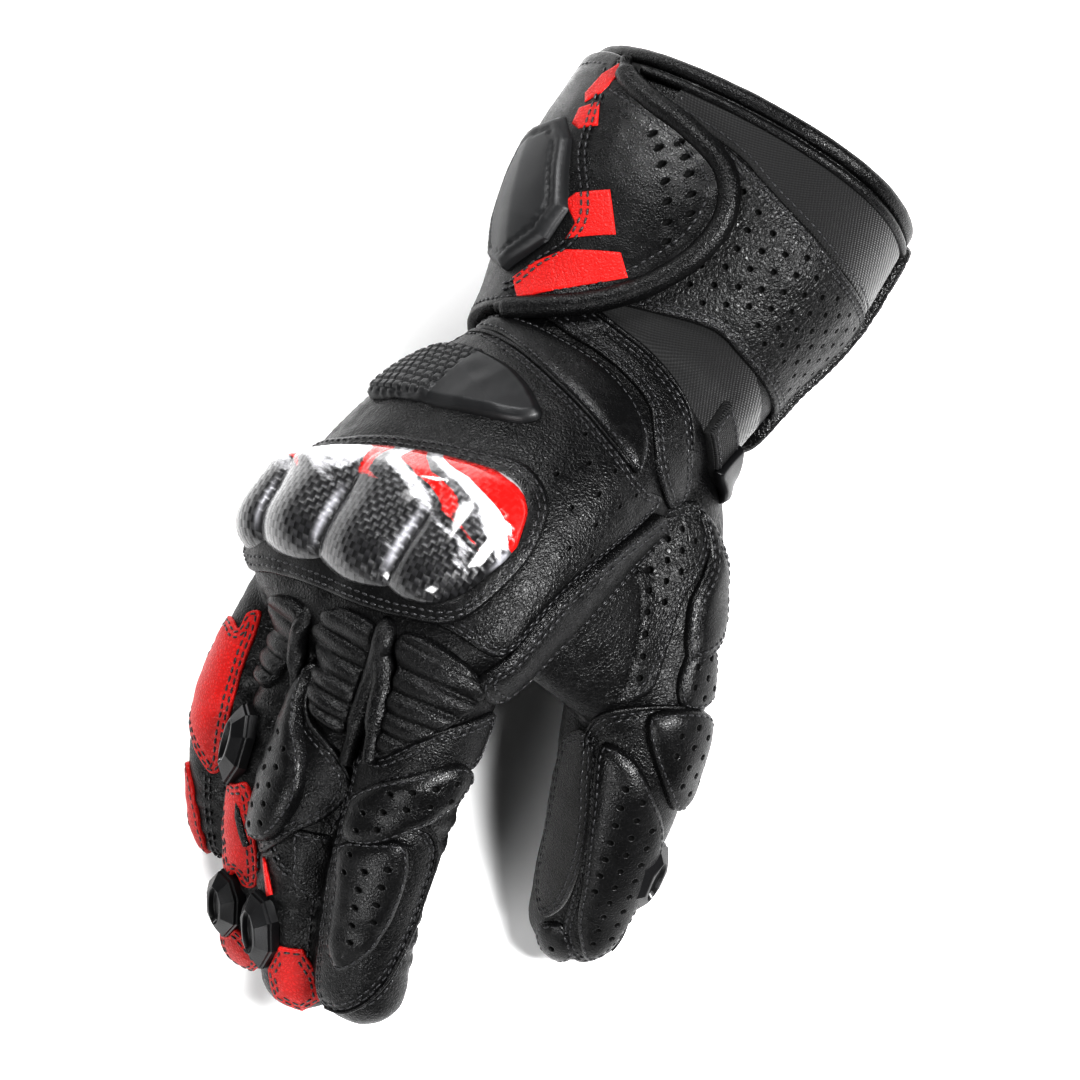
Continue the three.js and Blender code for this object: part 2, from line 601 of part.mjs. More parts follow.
const fingerPanels = [
  { name: 'index_band', on: index, top: TOP, finish: 'leather', outline: [
    [49, 116], [46, 90], [39, 57], [32, 20], [28, -28], [36, -30], [41, 6], [46, 50], [57, 92], [59, 112]] },
  { name: 'index_pad_near', on: index, top: GAP + PAD, finish: 'grain', outline: [
    [71, 93], [62, 100], [50, 54], [44, 12], [46, -6], [54, 6], [63, 37], [69, 68]] },
  { name: 'index_pad_far', on: index, top: GAP + PAD, finish: 'grain', outline: [
    [75, 96], [71, 66], [68, 40], [74, 29], [88, 33], [100, 50], [105, 72], [101, 86], [86, 88]] },
  { name: 'middle_pad', on: middle, top: GAP + PAD, finish: 'grain', outline: [
    [42, 130], [50, 108], [58, 94], [63, 80], [73, 88], [81, 112], [82, 130], [70, 140], [54, 140]] },
  { name: 'middle_tip', on: middle, top: TOP, finish: 'red', outline: [
    [121, 118], [121, 66], [129, 52], [137, 60], [134, 112]] },
  { name: 'ring_overlay', on: ring, top: TOP, finish: 'red', outline: [
    [80, 88], [82, 74], [92, 62], [102, 62], [102, 90], [102, 120], [90, 126], [80, 124]] },
  { name: 'ring_tip', on: ring, top: TOP, finish: 'red', outline: [
    [121, 124], [121, 90], [129, 66], [134, 90], [131, 125]] },
  { name: 'little_overlay', on: little, top: TOP, finish: 'red', outline: [
    [40, 110], [44, 92], [56, 88], [68, 84], [77, 84], [76, 120], [68, 150], [54, 160], [42, 150]] },
  { name: 'little_trim', on: little, top: TOP, finish: 'red', outline: [
    [84, 126], [96, 122], [107, 120], [108, 134], [96, 138], [84, 142]] },
];
for (const { name, on, top, finish, outline } of fingerPanels) {
  const panel = punched(on, outline, GAP, top, { steps: 1 });
  addPiece(name, clearOfLimbs(panel.subtract(palmClear), beside(on)), finish);
}
const sliders = [
  { name: 'middle_slider', on: middle, place: [109, 112], size: [18, 9] },
  { name: 'ring_slider_near', on: ring, place: [67, 118], size: [19, 10] },
  { name: 'ring_slider_far', on: ring, place: [111, 112], size: [14, 10] },
];
for (const { name, on, place, size } of sliders) {
  addPiece(name, clearOfLimbs(button(on, place, size), beside(on)), 'rubber');
}

// The thumb's panels, pads, grip patch and slider.
const thumbSlider = [thumb, [119, 128], [19, 12]];
const THIN_PAD = 2.4;
const thumbPanels = [
  { name: 'thumb_base_panel', top: TOP, finish: 'grain', outline: [
    [24, 170], [24, 134], [30, 132], [42, 161], [58, 169],
    [70, 178], [71, 204], [66, 226], [55, 218], [38, 196]] },
  { name: 'thumb_heel_pad', top: GAP + THIN_PAD, finish: 'leather', outline: [
    [30, 124], [37, 106], [50, 104], [52, 118], [60, 160], [45, 156]] },
  { name: 'thumb_outer_pad', top: GAP + THIN_PAD, finish: 'grain', outline: [
    [58, 142], [58, 118], [68, 110], [70, 150], [65, 156]] },
  { name: 'thumb_bulge_pad', top: GAP + PAD, finish: 'grain', outline: [
    [76, 172], [75, 118], [86, 102], [96, 104], [98, 122], [88, 154]] },
  { name: 'thumb_long_pad', top: GAP + PAD, finish: 'grain', outline: [
    [88, 200], [86, 184], [96, 150], [106, 130], [130, 128], [137, 157], [133, 175], [105, 192]] },
  { name: 'thumb_grip', top: TOP, finish: 'suede', outline: [
    [87, 250], [84, 226], [97, 214], [126, 201], [137, 226], [132, 250], [110, 254]] },
  { name: 'thumb_tip_pad', top: TOP, finish: 'grain', outline: [
    [143, 232], [136, 200], [146, 178], [153, 200], [153, 226]] },
];
const thumbSurroundings = united([
  hand.solid(STRAP_LOW), palmClear, index.solid(GAP), button(...thumbSlider, GAP),
]);
for (const { name, top, finish, outline } of thumbPanels) {
  addPiece(name, punched(thumb, outline, GAP, top, { steps: 1 }).subtract(thumbSurroundings), finish);
}
addPiece('thumb_slider', button(...thumbSlider), 'rubber');

export default glove;
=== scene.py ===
import math
import random

import bpy
import numpy as np
from mathutils import Matrix, Vector, noise
from mathutils.bvhtree import BVHTree
from mathutils.geometry import delaunay_2d_cdt
from mathutils.kdtree import KDTree


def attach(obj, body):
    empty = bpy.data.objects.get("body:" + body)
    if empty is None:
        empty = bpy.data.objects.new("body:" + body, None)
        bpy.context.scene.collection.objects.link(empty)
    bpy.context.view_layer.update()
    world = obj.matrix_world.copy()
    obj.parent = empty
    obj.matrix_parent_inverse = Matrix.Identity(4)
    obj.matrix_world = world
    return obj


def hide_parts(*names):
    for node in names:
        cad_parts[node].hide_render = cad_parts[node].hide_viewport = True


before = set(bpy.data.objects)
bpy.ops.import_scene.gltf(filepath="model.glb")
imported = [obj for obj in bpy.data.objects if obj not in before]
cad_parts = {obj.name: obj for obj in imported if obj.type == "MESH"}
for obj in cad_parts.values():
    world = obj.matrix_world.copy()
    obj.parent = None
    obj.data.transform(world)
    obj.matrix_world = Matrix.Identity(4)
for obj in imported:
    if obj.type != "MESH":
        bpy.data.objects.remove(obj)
frame_nodes = set(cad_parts)
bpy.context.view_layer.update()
random.seed(7)

# Lengths are millimetres in the hand's frame, X to the thumb, Y to the cuff and Z out of the back of
# the hand, until a piece is laid in the frame in metres.
MM = 0.001
UP_WHEN_LAID = (0.609, -0.234, 0.758)
FLOOR_HEIGHT = -49.2
CENTRE_OF_BASE = (16.44, -40.3)
SKIN = 1.8
WRIST_TOP = 27
WRIST_BOTTOM = 3
SIDE_SEAM = -5
VOXEL = 1.15
EASE = (0.6, 14)
MOUTH_EDGE = 1.6

# Each limb is a bent tube: its middle line, and rows of station along it, half width,
# depth to the dorsal side and depth to the palm side.
LIMBS = {
    "cuff": dict(
        path=[(-5, 86, 33), (-5, 48, 18), (-2, 10, 3), (0, -10, 2)],
        rows=[(0, 53, 40, 44), (35, 53, 39, 43), (68, 45, 33, 35), (101, 40, 29, 30)],
        up=(0.25, 0, 0.97), power=2.2, tip=0,
    ),
    "hand": dict(
        path=[(0, 14, 3), (0, -20, 6), (0, -55, 8), (0, -112, -3)],
        rows=[(0, 40, 29, 31), (25, 44, 28, 31), (70, 50, 26, 28), (114, 50, 20, 20), (130, 46, 16, 16)],
        up=(0, 0, 1), power=2.3, tip=26,
    ),
    "web": dict(
        path=[(28, -52, 0), (38, -50, -20), (46, -46, -44)],
        rows=[(0, 13, 30, 26), (26, 12, 26, 24), (52, 12, 20, 22)],
        up=(0, -1, 0), power=2, tip=0,
    ),
    "thumb": dict(
        path=[(14, 2, -10), (28, -14, -24), (43, -43, -50), (45, -70, -79), (38, -98, -119)],
        rows=[(0, 24, 20, 24), (35, 23, 20, 24), (70, 20, 19, 22), (100, 19, 17, 19), (130, 16, 14, 16),
              (160, 13.5, 12, 13)],
        up=(0.7, 0.6, -0.4), power=2.15, tip=15,
    ),
}
# Each finger's half width, dorsal depth and palm depth at its root, and its middle line.
FINGERS = {
    "index": ((15.5, 15, 14), [
        (31, -75, 2), (31, -97, -3), (31.5, -128, -32), (30, -149, -56), (31, -165, -83)]),
    "middle": ((14, 14, 14), [
        (9, -75, 4), (10, -97, -1), (6, -132, -30), (6, -153, -56), (10, -168, -87)]),
    "ring": ((13, 13.5, 13.5), [
        (-12, -73, 2), (-14, -95, -3), (-17, -129, -33), (-16, -149, -61), (-14, -164, -89)]),
    "little": ((13, 13, 13), [
        (-33, -68, -2), (-38, -88, -7), (-41, -121, -28), (-41, -135, -49), (-39, -146, -74)]),
}
# A share of a finger's length, and its shares of half width, dorsal depth and palm depth there.
FINGER_TAPER = [
    (0, 1, 1, 1), (0.35, 0.97, 0.97, 0.97), (0.6, 0.94, 0.95, 0.92), (0.8, 0.9, 0.85, 0.86),
    (1, 0.84, 0.75, 0.8),
]
FINGER_TIP = 12
FINGER_POWER = 2.15


def unit(v):
    return v / np.maximum(np.linalg.norm(v, axis=-1, keepdims=True), 1e-9)


def run_length(line):
    """How far along a polyline each of its points is."""
    return np.concatenate([[0], np.cumsum(np.linalg.norm(np.diff(line, axis=0), axis=1))])


def ring_faces(rings, around, closed=False, capped=False):
    """The quads between rings of `around` points each, and the two end caps."""
    faces = []
    for r in range(rings if closed else rings - 1):
        here, ahead = r * around, (r + 1) % rings * around
        for i in range(around):
            j = (i + 1) % around
            faces.append((here + i, here + j, ahead + j, ahead + i))
    if capped:
        last = (rings - 1) * around
        faces += [tuple(range(around - 1, -1, -1)), tuple(last + i for i in range(around))]
    return faces


def between(rows, column, s):
    """A smooth value between the rows of a table whose first column is the station."""
    table = np.array(rows, float)
    x, y = table[:, 0], table[:, column]
    slope = np.empty_like(y)
    slope[1:-1] = (y[2:] - y[:-2]) / (x[2:] - x[:-2])
    slope[0], slope[-1] = (y[1] - y[0]) / (x[1] - x[0]), (y[-1] - y[-2]) / (x[-1] - x[-2])
    s = np.clip(s, x[0], x[-1])
    i = np.clip(np.searchsorted(x, s, side="right") - 1, 0, len(x) - 2)
    h = x[i + 1] - x[i]
    t = (s - x[i]) / h
    start = (1 + 2 * t) * (1 - t) ** 2 * y[i] + t * (1 - t) ** 2 * h * slope[i]
    return start + t * t * (3 - 2 * t) * y[i + 1] + t * t * (t - 1) * h * slope[i + 1]


class Limb:
    """A bent tube of one row of the tables above. A place on it is a station and degrees round it."""

    def __init__(self, path, rows, up, power, tip):
        line = np.array(path, float)
        for _ in range(3):
            cut = [line[:-1] * 0.75 + line[1:] * 0.25, line[:-1] * 0.25 + line[1:] * 0.75]
            line = np.vstack([line[:1], np.stack(cut, 1).reshape(-1, 3), line[-1:]])
        self.line, self.rows, self.power, self.tip = line, rows, power, tip
        self.up = np.array(up, float)
        self.marks = run_length(line)
        self.length = self.marks[-1]
        ahead = unit(np.roll(line, -1, 0) - np.roll(line, 1, 0))
        ahead[0], ahead[-1] = unit(line[1] - line[0]), unit(line[-1] - line[-2])
        self.ahead = ahead

    def section(self, s):
        """The middle of a section, its thumb side and its dorsal side. Past an end the line runs on."""
        i = np.clip(np.searchsorted(self.marks, s, side="right") - 1, 0, len(self.marks) - 2)
        step = self.marks[i + 1] - self.marks[i]
        t = ((s - self.marks[i]) / step)[..., None]
        middle = self.line[i] * (1 - t) + self.line[i + 1] * t
        part = np.clip(t, 0, 1)
        ahead = unit(self.ahead[i] * (1 - part) + self.ahead[i + 1] * part)
        dorsal = unit(self.up - ahead * (ahead @ self.up)[..., None])
        return middle, np.cross(dorsal, ahead), dorsal

    def surface(self, s, degrees, lift=0.0):
        """Points of the tube. Degrees go from the thumb's side, 0, over the back, 90."""
        s, degrees = np.broadcast_arrays(np.asarray(s, float), np.asarray(degrees, float))
        middle, side, dorsal = self.section(s)
        if self.tip:
            into = np.clip((s - self.length + self.tip) / (self.tip + lift), 0, 1)
            close = np.sqrt(np.maximum(1 - into ** 2.2, 0))
        else:
            close = 1.0
        x, y = np.cos(np.radians(degrees)), np.sin(np.radians(degrees))
        k = (abs(x) ** self.power + abs(y) ** self.power) ** (-1 / self.power) * close
        width = between(self.rows, 1, s) + lift
        depth = np.where(y > 0, between(self.rows, 2, s), between(self.rows, 3, s)) + lift
        return middle + side * (k * x * width)[..., None] + dorsal * (k * y * depth)[..., None]

    def outward(self, s, degrees):
        """Which way is straight out of the tube."""
        along = self.surface(s + 0.6, degrees) - self.surface(s - 0.6, degrees)
        around = self.surface(s, degrees + 1.5) - self.surface(s, degrees - 1.5)
        normal = unit(np.cross(along, around))
        out = self.surface(s, degrees) - self.section(np.asarray(s, float))[0]
        return normal * np.sign((normal * out).sum(-1, keepdims=True) + 1e-9)

    def tube(self, rings=90, around=96):
        """A closed mesh of the whole limb."""
        share = np.linspace(0, 1, rings)
        if self.tip:
            share = 1 - (1 - share) ** 1.5
        stations = (self.length - 0.02) * share
        angles = np.arange(around) * 360 / around
        points = self.surface(stations[:, None], angles[None]).reshape(-1, 3)
        ends = [self.section(np.array([stations[k]]))[0][0] for k in (0, -1)]
        faces = ring_faces(rings, around)
        low, high, last = len(points), len(points) + 1, (rings - 1) * around
        for i in range(around):
            j = (i + 1) % around
            faces += [(low, j, i), (high, last + i, last + j)]
        return np.vstack([points, ends]), faces


limbs = {name: Limb(**shape) for name, shape in LIMBS.items()}
for name, (root, path) in FINGERS.items():
    bare = Limb(path, [(0, *root), (1, *root)], (0, 0, 1), FINGER_POWER, 0)
    rows = [(bare.length * part, *(v * k for v, k in zip(root, shares))) for part, *shares in FINGER_TAPER]
    limbs[name] = Limb(path, rows, (0, 0, 1), FINGER_POWER, FINGER_TIP)


def laid_matrix():
    """The turn that lays the hand on its cuff, thumb and little finger."""
    up = Vector(UP_WHEN_LAID).normalized()
    ahead = (Vector((0, 1, 0)) - up * up.y).normalized()
    right = ahead.cross(up)
    return np.array([right, ahead, up])


LAID = laid_matrix()


def lay(points):
    """Points of the hand's frame, in millimetres, in the frame's metres."""
    base = np.array([*CENTRE_OF_BASE, FLOOR_HEIGHT])
    return (np.asarray(points, float) @ LAID.T - base) * MM


def wavy(points, size):
    """Even noise from -1 to 1 over points, its lumps about `size` across."""
    return np.array([noise.fractal(Vector(p), 0.6, 2.1, 2) for p in np.asarray(points, float) / size])


# Shader maths. A Socket is an output of a node, and sums and products of it add Math nodes.
class Socket:
    def __init__(self, finish, socket):
        self.finish, self.socket = finish, socket

    def maths(self, operation, *values):
        return self.finish.node("ShaderNodeMath", dict(enumerate(values)), operation=operation)

    def __add__(self, other):
        return self.maths("ADD", self, other)

    def __sub__(self, other):
        return self.maths("SUBTRACT", self, other)

    def __rsub__(self, other):
        return self.maths("SUBTRACT", other, self)

    def __mul__(self, other):
        return self.maths("MULTIPLY", self, other)

    def __truediv__(self, other):
        return self.maths("DIVIDE", self, other)

    def __rtruediv__(self, other):
        return self.maths("DIVIDE", other, self)

    def __gt__(self, other):
        return self.maths("GREATER_THAN", self, other)

    def __lt__(self, other):
        return self.maths("LESS_THAN", self, other)

    __radd__, __rmul__ = __add__, __mul__

    def __mod__(self, other):
        return self.maths("FLOORED_MODULO", self, other)

    def __rmod__(self, other):
        return self.maths("FLOORED_MODULO", other, self)

    def sine(self):
        return self.maths("SINE", self)

    def size(self):
        return self.maths("ABSOLUTE", self)

    def floor(self):
        return self.maths("FLOOR", self)

    def most(self, other):
        return self.maths("MAXIMUM", self, other)

    def step(self, low, high):
        """0 below low, 1 above high, and smooth between."""
        values = {"Value": self, "From Min": low, "From Max": high}
        return self.finish.node("ShaderNodeMapRange", values, interpolation_type="SMOOTHSTEP")


class Finish:
    """A material: its Principled shader and the nodes that feed it."""

    def __init__(self, name, **constants):
        self.material = bpy.data.materials.new(name)
        self.material.use_nodes = True
        self.tree = self.material.node_tree
        self.shader = self.tree.nodes["Principled BSDF"]
        for socket, value in constants.items():
            self.shader.inputs[socket.replace("_", " ")].default_value = value

    def node(self, kind, values=None, out=0, **settings):
        made = self.tree.nodes.new(kind)
        for key, value in settings.items():
            setattr(made, key, value)
        for key, value in (values or {}).items():
            self.feed(made.inputs[key], value)
        outputs = [socket for socket in made.outputs if socket.enabled]
        return Socket(self, made.outputs[out] if isinstance(out, str) else outputs[out])

    def feed(self, target, value):
        if isinstance(value, Socket):
            self.tree.links.new(value.socket, target)
        else:
            target.default_value = value

    def mix(self, factor, first, second):
        """The first colour where factor is 0, the second where it is 1."""
        colours = [c if isinstance(c, Socket) else (*c, 1) for c in (first, second)]
        values = {"Factor": factor, 6: colours[0], 7: colours[1]}
        return self.node("ShaderNodeMix", values, data_type="RGBA")

    def place(self, name="lay"):
        """A vector stored on the piece: along it, round it and in from its edge, in millimetres."""
        return self.split(self.node("ShaderNodeAttribute", out="Vector", attribute_name=name))

    def split(self, vector):
        parts = self.node("ShaderNodeSeparateXYZ", {"Vector": vector}).socket.node
        return [Socket(self, parts.outputs[axis]) for axis in "XYZ"]

    def here(self):
        return self.node("ShaderNodeTexCoord", out="Object")

    def cells(self, size, at=None, randomness=1.0, feature="DISTANCE_TO_EDGE"):
        values = {"Vector": at or self.here(), "Scale": 1 / (size * MM), "Randomness": randomness}
        return self.node("ShaderNodeTexVoronoi", values, feature=feature)

    def clouds(self, size, detail=3.0, at=None, rough=0.55, twist=0.0, out=0):
        values = {"Vector": at or self.here(), "Scale": 1 / (size * MM), "Detail": detail,
                  "Roughness": rough, "Distortion": twist}
        return self.node("ShaderNodeTexNoise", values, out=out)

    def vector(self, operation, first, second, socket=1):
        return self.node("ShaderNodeVectorMath", {0: first, socket: second}, operation=operation)

    def bend(self, vector, size, amount):
        """A vector pushed about by `amount` millimetres in lumps `size` across."""
        push = self.clouds(size, 1.0, vector, 0.5, out="Color")
        centred = self.vector("SUBTRACT", push, (0.5, 0.5, 0.5))
        scaled = self.vector("SCALE", centred, amount * MM, "Scale")
        return self.vector("ADD", vector, scaled)

    def relief(self, height, deep, strength=1.0):
        """A bump whose height of 1 is `deep` millimetres."""
        values = {"Height": height, "Distance": deep * MM, "Strength": strength}
        self.feed(self.shader.inputs["Normal"], self.node("ShaderNodeBump", values))

    def paint(self, colour=None, roughness=None, metallic=None):
        for socket, value in (("Base Color", colour), ("Roughness", roughness), ("Metallic", metallic)):
            if value is not None:
                self.feed(self.shader.inputs[socket], value)


# The near black painted into the floor of each pricked hole as its shade.
PAINTED_HOLE_SHADE = (0.0004, 0.0004, 0.0004)
KNIT_RIB = 0.9
KNIT_LOOP = 0.75
WEB_RIB = 1.7
WEB_THREAD = 0.7
TOW = 1.5
FILAMENTS = 22
STROKE_APART = 10.5


def waves(value, pitch):
    """Waves from -1 to 1 that come back every `pitch`."""
    return (value * (2 * math.pi / pitch)).sine()


def leather(name, tint, grain, deep, sheen, creases=0.25, pebbled=1.0, contrast=0.5):
    """Grained leather: `grain` across a pebble, `deep` its relief, `sheen` its middle roughness."""
    finish = Finish(name, Specular_IOR_Level=0.38)
    bent = finish.bend(finish.here(), 1.6, 0.5)
    pebble = finish.cells(grain, bent).step(0.0, 0.34)
    small = finish.cells(grain * 0.42, bent).step(0.0, 0.38)
    fold = finish.clouds(10, 4, twist=1.2)
    crease = 1 - (fold - 0.5).size().step(0.0, 0.03)
    pores = finish.clouds(0.3, 2)
    height = pebble * 0.65 * pebbled + small * 0.3 + pores * 0.12 - crease * creases
    finish.relief(height, deep)
    worn = finish.clouds(24, 3)
    edge = 1 - finish.place()[2].step(0.1, 1.3)
    dark = tuple(c * (1 - contrast) for c in tint)
    light = tuple(min(1, c * (1 + contrast) + 0.003) for c in tint)
    shade = finish.mix(pebble * 0.45 + worn * 0.35 + edge * 0.3, dark, light)
    # Painted shade: the floor of each pricked hole is painted near black.
    pit = finish.place("mark")[1].step(0.1, 0.5)
    shade = finish.mix(pit, shade, PAINTED_HOLE_SHADE)
    rough = sheen + (worn - 0.5) * 0.24 - pebble * 0.09 + crease * 0.1 - edge * 0.08
    finish.paint(shade, rough + pit * 0.5)
    return finish.material


def knit():
    """Fine ribs of knitted loops."""
    finish = Finish("stretch_knit", Sheen_Weight=0.4, Sheen_Roughness=0.5)
    x, y, z = finish.split(finish.here())
    rib = waves(x * 0.8 + y * 0.6, KNIT_RIB * MM)
    loop = waves(y * 0.8 - x * 0.6 + z, KNIT_LOOP * MM)
    fuzz = finish.clouds(0.6, 3)
    height = rib * 0.3 + loop * 0.25 + fuzz * 0.5
    finish.relief(height, 0.2)
    fibre = finish.mix(height.step(-0.2, 0.8), (0.0012, 0.0012, 0.0014), (0.006, 0.006, 0.0065))
    finish.paint(fibre, 0.82 + fuzz * 0.12)
    return finish.material


def suede():
    """A soft nap with lighter patches."""
    finish = Finish("suede", Sheen_Weight=0.35, Sheen_Roughness=0.45)
    nap = finish.clouds(0.5, 4, rough=0.7)
    patch = finish.clouds(7, 3)
    finish.relief(nap, 0.7)
    shade = (nap * 0.8 + patch * 0.2).step(0.38, 0.66)
    finish.paint(finish.mix(shade, (0.0008, 0.0008, 0.0008), (0.020, 0.0195, 0.019)), 0.9)
    return finish.material


def webbing():
    """A woven strap with ribs across it."""
    finish = Finish("ribbed_webbing")
    along, across = finish.place()[:2]
    rib = waves(along, WEB_RIB).size()
    thread = waves(across, WEB_THREAD)
    finish.relief(rib + thread * 0.25, 0.4)
    finish.paint(finish.mix(rib, (0.002, 0.002, 0.002), (0.014, 0.014, 0.015)), 0.55 + thread * 0.1)
    return finish.material


def rubber(name, tint, rough):
    """Hard moulded rubber or plastic, slightly scuffed."""
    finish = Finish(name)
    speck = finish.clouds(0.35, 3)
    scuff = finish.clouds(12, 5, twist=0.6)
    finish.relief(speck, 0.05)
    light = tuple(c * 1.7 for c in tint)
    finish.paint(finish.mix(scuff, tint, light), rough + (scuff - 0.5) * 0.16 + speck * 0.05)
    return finish.material


def thread():
    """Twisted thread, a little lighter than the leather."""
    finish = Finish("sewing_thread")
    twist = finish.clouds(0.4, 1)
    finish.relief(twist, 0.1)
    finish.paint(finish.mix(twist, (0.010, 0.010, 0.011), (0.045, 0.045, 0.048)), 0.32)
    return finish.material


def carbon():
    """Woven carbon under clear lacquer, with loose blots of white and red paint towards the wrist, and a
    painted reflection: a light grey streak down each lobe.
    """
    finish = Finish("woven_carbon", Coat_Weight=1.0, Coat_Roughness=0.12, Specular_IOR_Level=0.5)
    along, across = finish.place()[:2]
    column, line = (along / TOW).floor(), (across / TOW).floor()
    over = ((column + line) % 2) > 0.5
    barrel = over * waves(along, 2 * TOW).size() + (1 - over) * waves(across, 2 * TOW).size()
    strand = over * (across * FILAMENTS).sine() + (1 - over) * (along * FILAMENTS).sine()
    finish.relief(barrel * 0.8 + strand * 0.1, 0.2, 0.8)
    weave = finish.mix(over * 0.55 + barrel * 0.45, (0.002, 0.002, 0.0022), (0.030, 0.030, 0.032))
    near, mirror = finish.place("mark")[::2]
    stroke = finish.node("ShaderNodeCombineXYZ", {"X": along * MM, "Y": across * (MM * 0.42)})
    drift = finish.clouds(15, 1, stroke, 0.4, 0.5)
    bristle = finish.clouds(2.2, 4, stroke, 0.7, 0.3)
    wave = (across * 0.36 + along * 0.62 + drift * 26) * (2 * math.pi / STROKE_APART)
    white = (wave.sine() * 0.34 + near * 0.60 + bristle * 0.6).step(0.68, 0.92)
    red = ((wave + 2.2).sine() * 0.5 + near * 0.72 + bristle * 0.30).step(0.88, 0.95)
    haze = (bristle + near * 0.7 + drift * 0.5).step(0.95, 1.6) * 0.5
    painted = finish.mix(white.most(haze), weave, (0.40, 0.40, 0.41))
    painted = finish.mix(red, painted, (0.40, 0.012, 0.010))
    # Painted reflection: a light grey streak down each lobe where the lacquer would mirror a window, kept off
    # the red paint.
    painted_reflection = mirror * (1 - red) * 0.85
    painted = finish.mix(painted_reflection, painted, (0.36, 0.36, 0.38))
    cover = white.most(red)
    finish.paint(painted, 0.30 - cover * 0.05, 0.15 - cover * 0.15)
    return finish.material


FINISHES = {
    "smooth": leather("smooth_leather", (0.0030, 0.0030, 0.0034), 1.0, 0.11, 0.37),
    "soft": leather("soft_leather", (0.0028, 0.0028, 0.0032), 1.2, 0.12, 0.39, 0.4),
    "pebble": leather("pebble_leather", (0.0046, 0.0046, 0.0050), 1.6, 0.20, 0.40, 0.12),
    "satin": leather("satin_leather", (0.0042, 0.0042, 0.0046), 0.9, 0.07, 0.34, 0.1, 0.7),
    "padded": leather("padded_leather", (0.0040, 0.0040, 0.0044), 1.0, 0.08, 0.37, 0.1, 0.8),
    "red": leather("red_leather", (0.37, 0.012, 0.010), 1.1, 0.11, 0.42, 0.3, 1.0, 0.28),
    "knit": knit(),
    "suede": suede(),
    "webbing": webbing(),
    "rubber": rubber("moulded_rubber", (0.0085, 0.0088, 0.0095), 0.42),
    "slider": rubber("hard_slider", (0.0042, 0.0042, 0.0048), 0.30),
    "thread": thread(),
    "carbon": carbon(),
}


def smooth_closed(points, step):
    """A smooth closed line through points, with samples about `step` apart."""
    p = np.array(points, float)
    out = []
    for k in range(len(p)):
        a, b, c, d = (p[(k + j) % len(p)] for j in (-1, 0, 1, 2))
        out.append(spline_part(a, b, c, d, step))
    return np.vstack(out)


def smooth_open(points, step):
    p = np.array(points, float)
    p = np.vstack([2 * p[0] - p[1], p, 2 * p[-1] - p[-2]])
    out = [spline_part(*p[k:k + 4], step) for k in range(len(p) - 3)]
    return np.vstack([*out, p[-2:-1]])


def spline_part(a, b, c, d, step):
    """The stretch from b to c of a centripetal Catmull-Rom spline."""
    knots = [0.0]
    for first, second in ((a, b), (b, c), (c, d)):
        knots.append(knots[-1] + max(np.linalg.norm(second - first), 1e-6) ** 0.5)
    count = max(int(math.ceil(np.linalg.norm(c - b) / step)), 1)
    t = (knots[1] + (knots[2] - knots[1]) * np.arange(count) / count)[:, None]

    def blend(p, q, low, high):
        return (p * (knots[high] - t) + q * (t - knots[low])) / (knots[high] - knots[low])

    one, two, three = blend(a, b, 0, 1), blend(b, c, 1, 2), blend(c, d, 2, 3)
    return blend(blend(one, two, 0, 2), blend(two, three, 1, 3), 1, 2)


def spaced(line, pitch):
    """Points `pitch` apart along a polyline, from half a pitch in."""
    length = run_length(line)
    marks = np.arange(pitch / 2, length[-1], pitch)
    return np.stack([np.interp(marks, length, line[:, k]) for k in range(line.shape[1])], 1)


def edge_distance(points, outline):
    """Each point's distance to a closed outline, positive inside."""
    a, b = outline, np.roll(outline, -1, 0)
    best = np.full(len(points), 1e9)
    inside = np.zeros(len(points), bool)
    for p, q in zip(a, b):
        side = q - p
        t = np.clip(((points - p) @ side) / max(side @ side, 1e-12), 0, 1)
        best = np.minimum(best, np.linalg.norm(points - p - t[:, None] * side, axis=1))
        crosses = (p[1] > points[:, 1]) != (q[1] > points[:, 1])
        if crosses.any():
            x = p[0] + (points[:, 1] - p[1]) / (q[1] - p[1] + 1e-12) * side[0]
            inside ^= crosses & (points[:, 0] < x)
    return np.where(inside, best, -best)


def object_from(name, points, faces):
    mesh = bpy.data.meshes.new(name)
    mesh.from_pydata([tuple(p) for p in points], [], faces)
    mesh.validate()
    thing = bpy.data.objects.new(name, mesh)
    bpy.context.scene.collection.objects.link(thing)
    return thing


def melted_body():
    """The base skin that the panels are sewn on: the limbs melted into one body."""
    points, faces = [], []
    count = 0
    for limb in limbs.values():
        some, ring_faces = limb.tube()
        points.append(some)
        faces += [tuple(i + count for i in face) for face in ring_faces]
        count += len(some)
    body = object_from("melted", np.vstack(points), faces)
    remesh = body.modifiers.new("melt", "REMESH")
    remesh.mode, remesh.voxel_size = "VOXEL", VOXEL
    ease = body.modifiers.new("ease", "SMOOTH")
    ease.factor, ease.iterations = EASE
    graph = bpy.context.evaluated_depsgraph_get()
    mesh = bpy.data.meshes.new_from_object(body.evaluated_get(graph))
    bpy.data.objects.remove(body)
    return mesh


body_mesh = melted_body()
body_points = np.empty(len(body_mesh.vertices) * 3)
body_mesh.vertices.foreach_get("co", body_points)
body_points = body_points.reshape(-1, 3)
body_faces = [tuple(face.vertices) for face in body_mesh.polygons]


def nearest_places():
    """For each point of the body, its limb and its station and degrees there."""
    places, marks = [], []
    for name, limb in limbs.items():
        stations = np.arange(0, limb.length - 0.3, 1.2)
        angles = np.arange(0, 360, 4.0)
        points = limb.surface(stations[:, None], angles[None])
        for s, ring in zip(stations, points):
            places += list(ring)
            marks += [(name, s, angle) for angle in angles]
    tree = KDTree(len(places))
    for k, point in enumerate(places):
        tree.insert(Vector(point), k)
    tree.balance()
    return [marks[tree.find(Vector(point))[1]] for point in body_points]


body_marks = nearest_places()


def closes_mouth(k):
    """Whether a face of the body lies over the cuff's mouth."""
    cuff = limbs["cuff"]
    middle, ahead = cuff.line[0], cuff.ahead[0]
    return (body_points[list(body_faces[k])].mean(0) - middle) @ ahead < MOUTH_EDGE


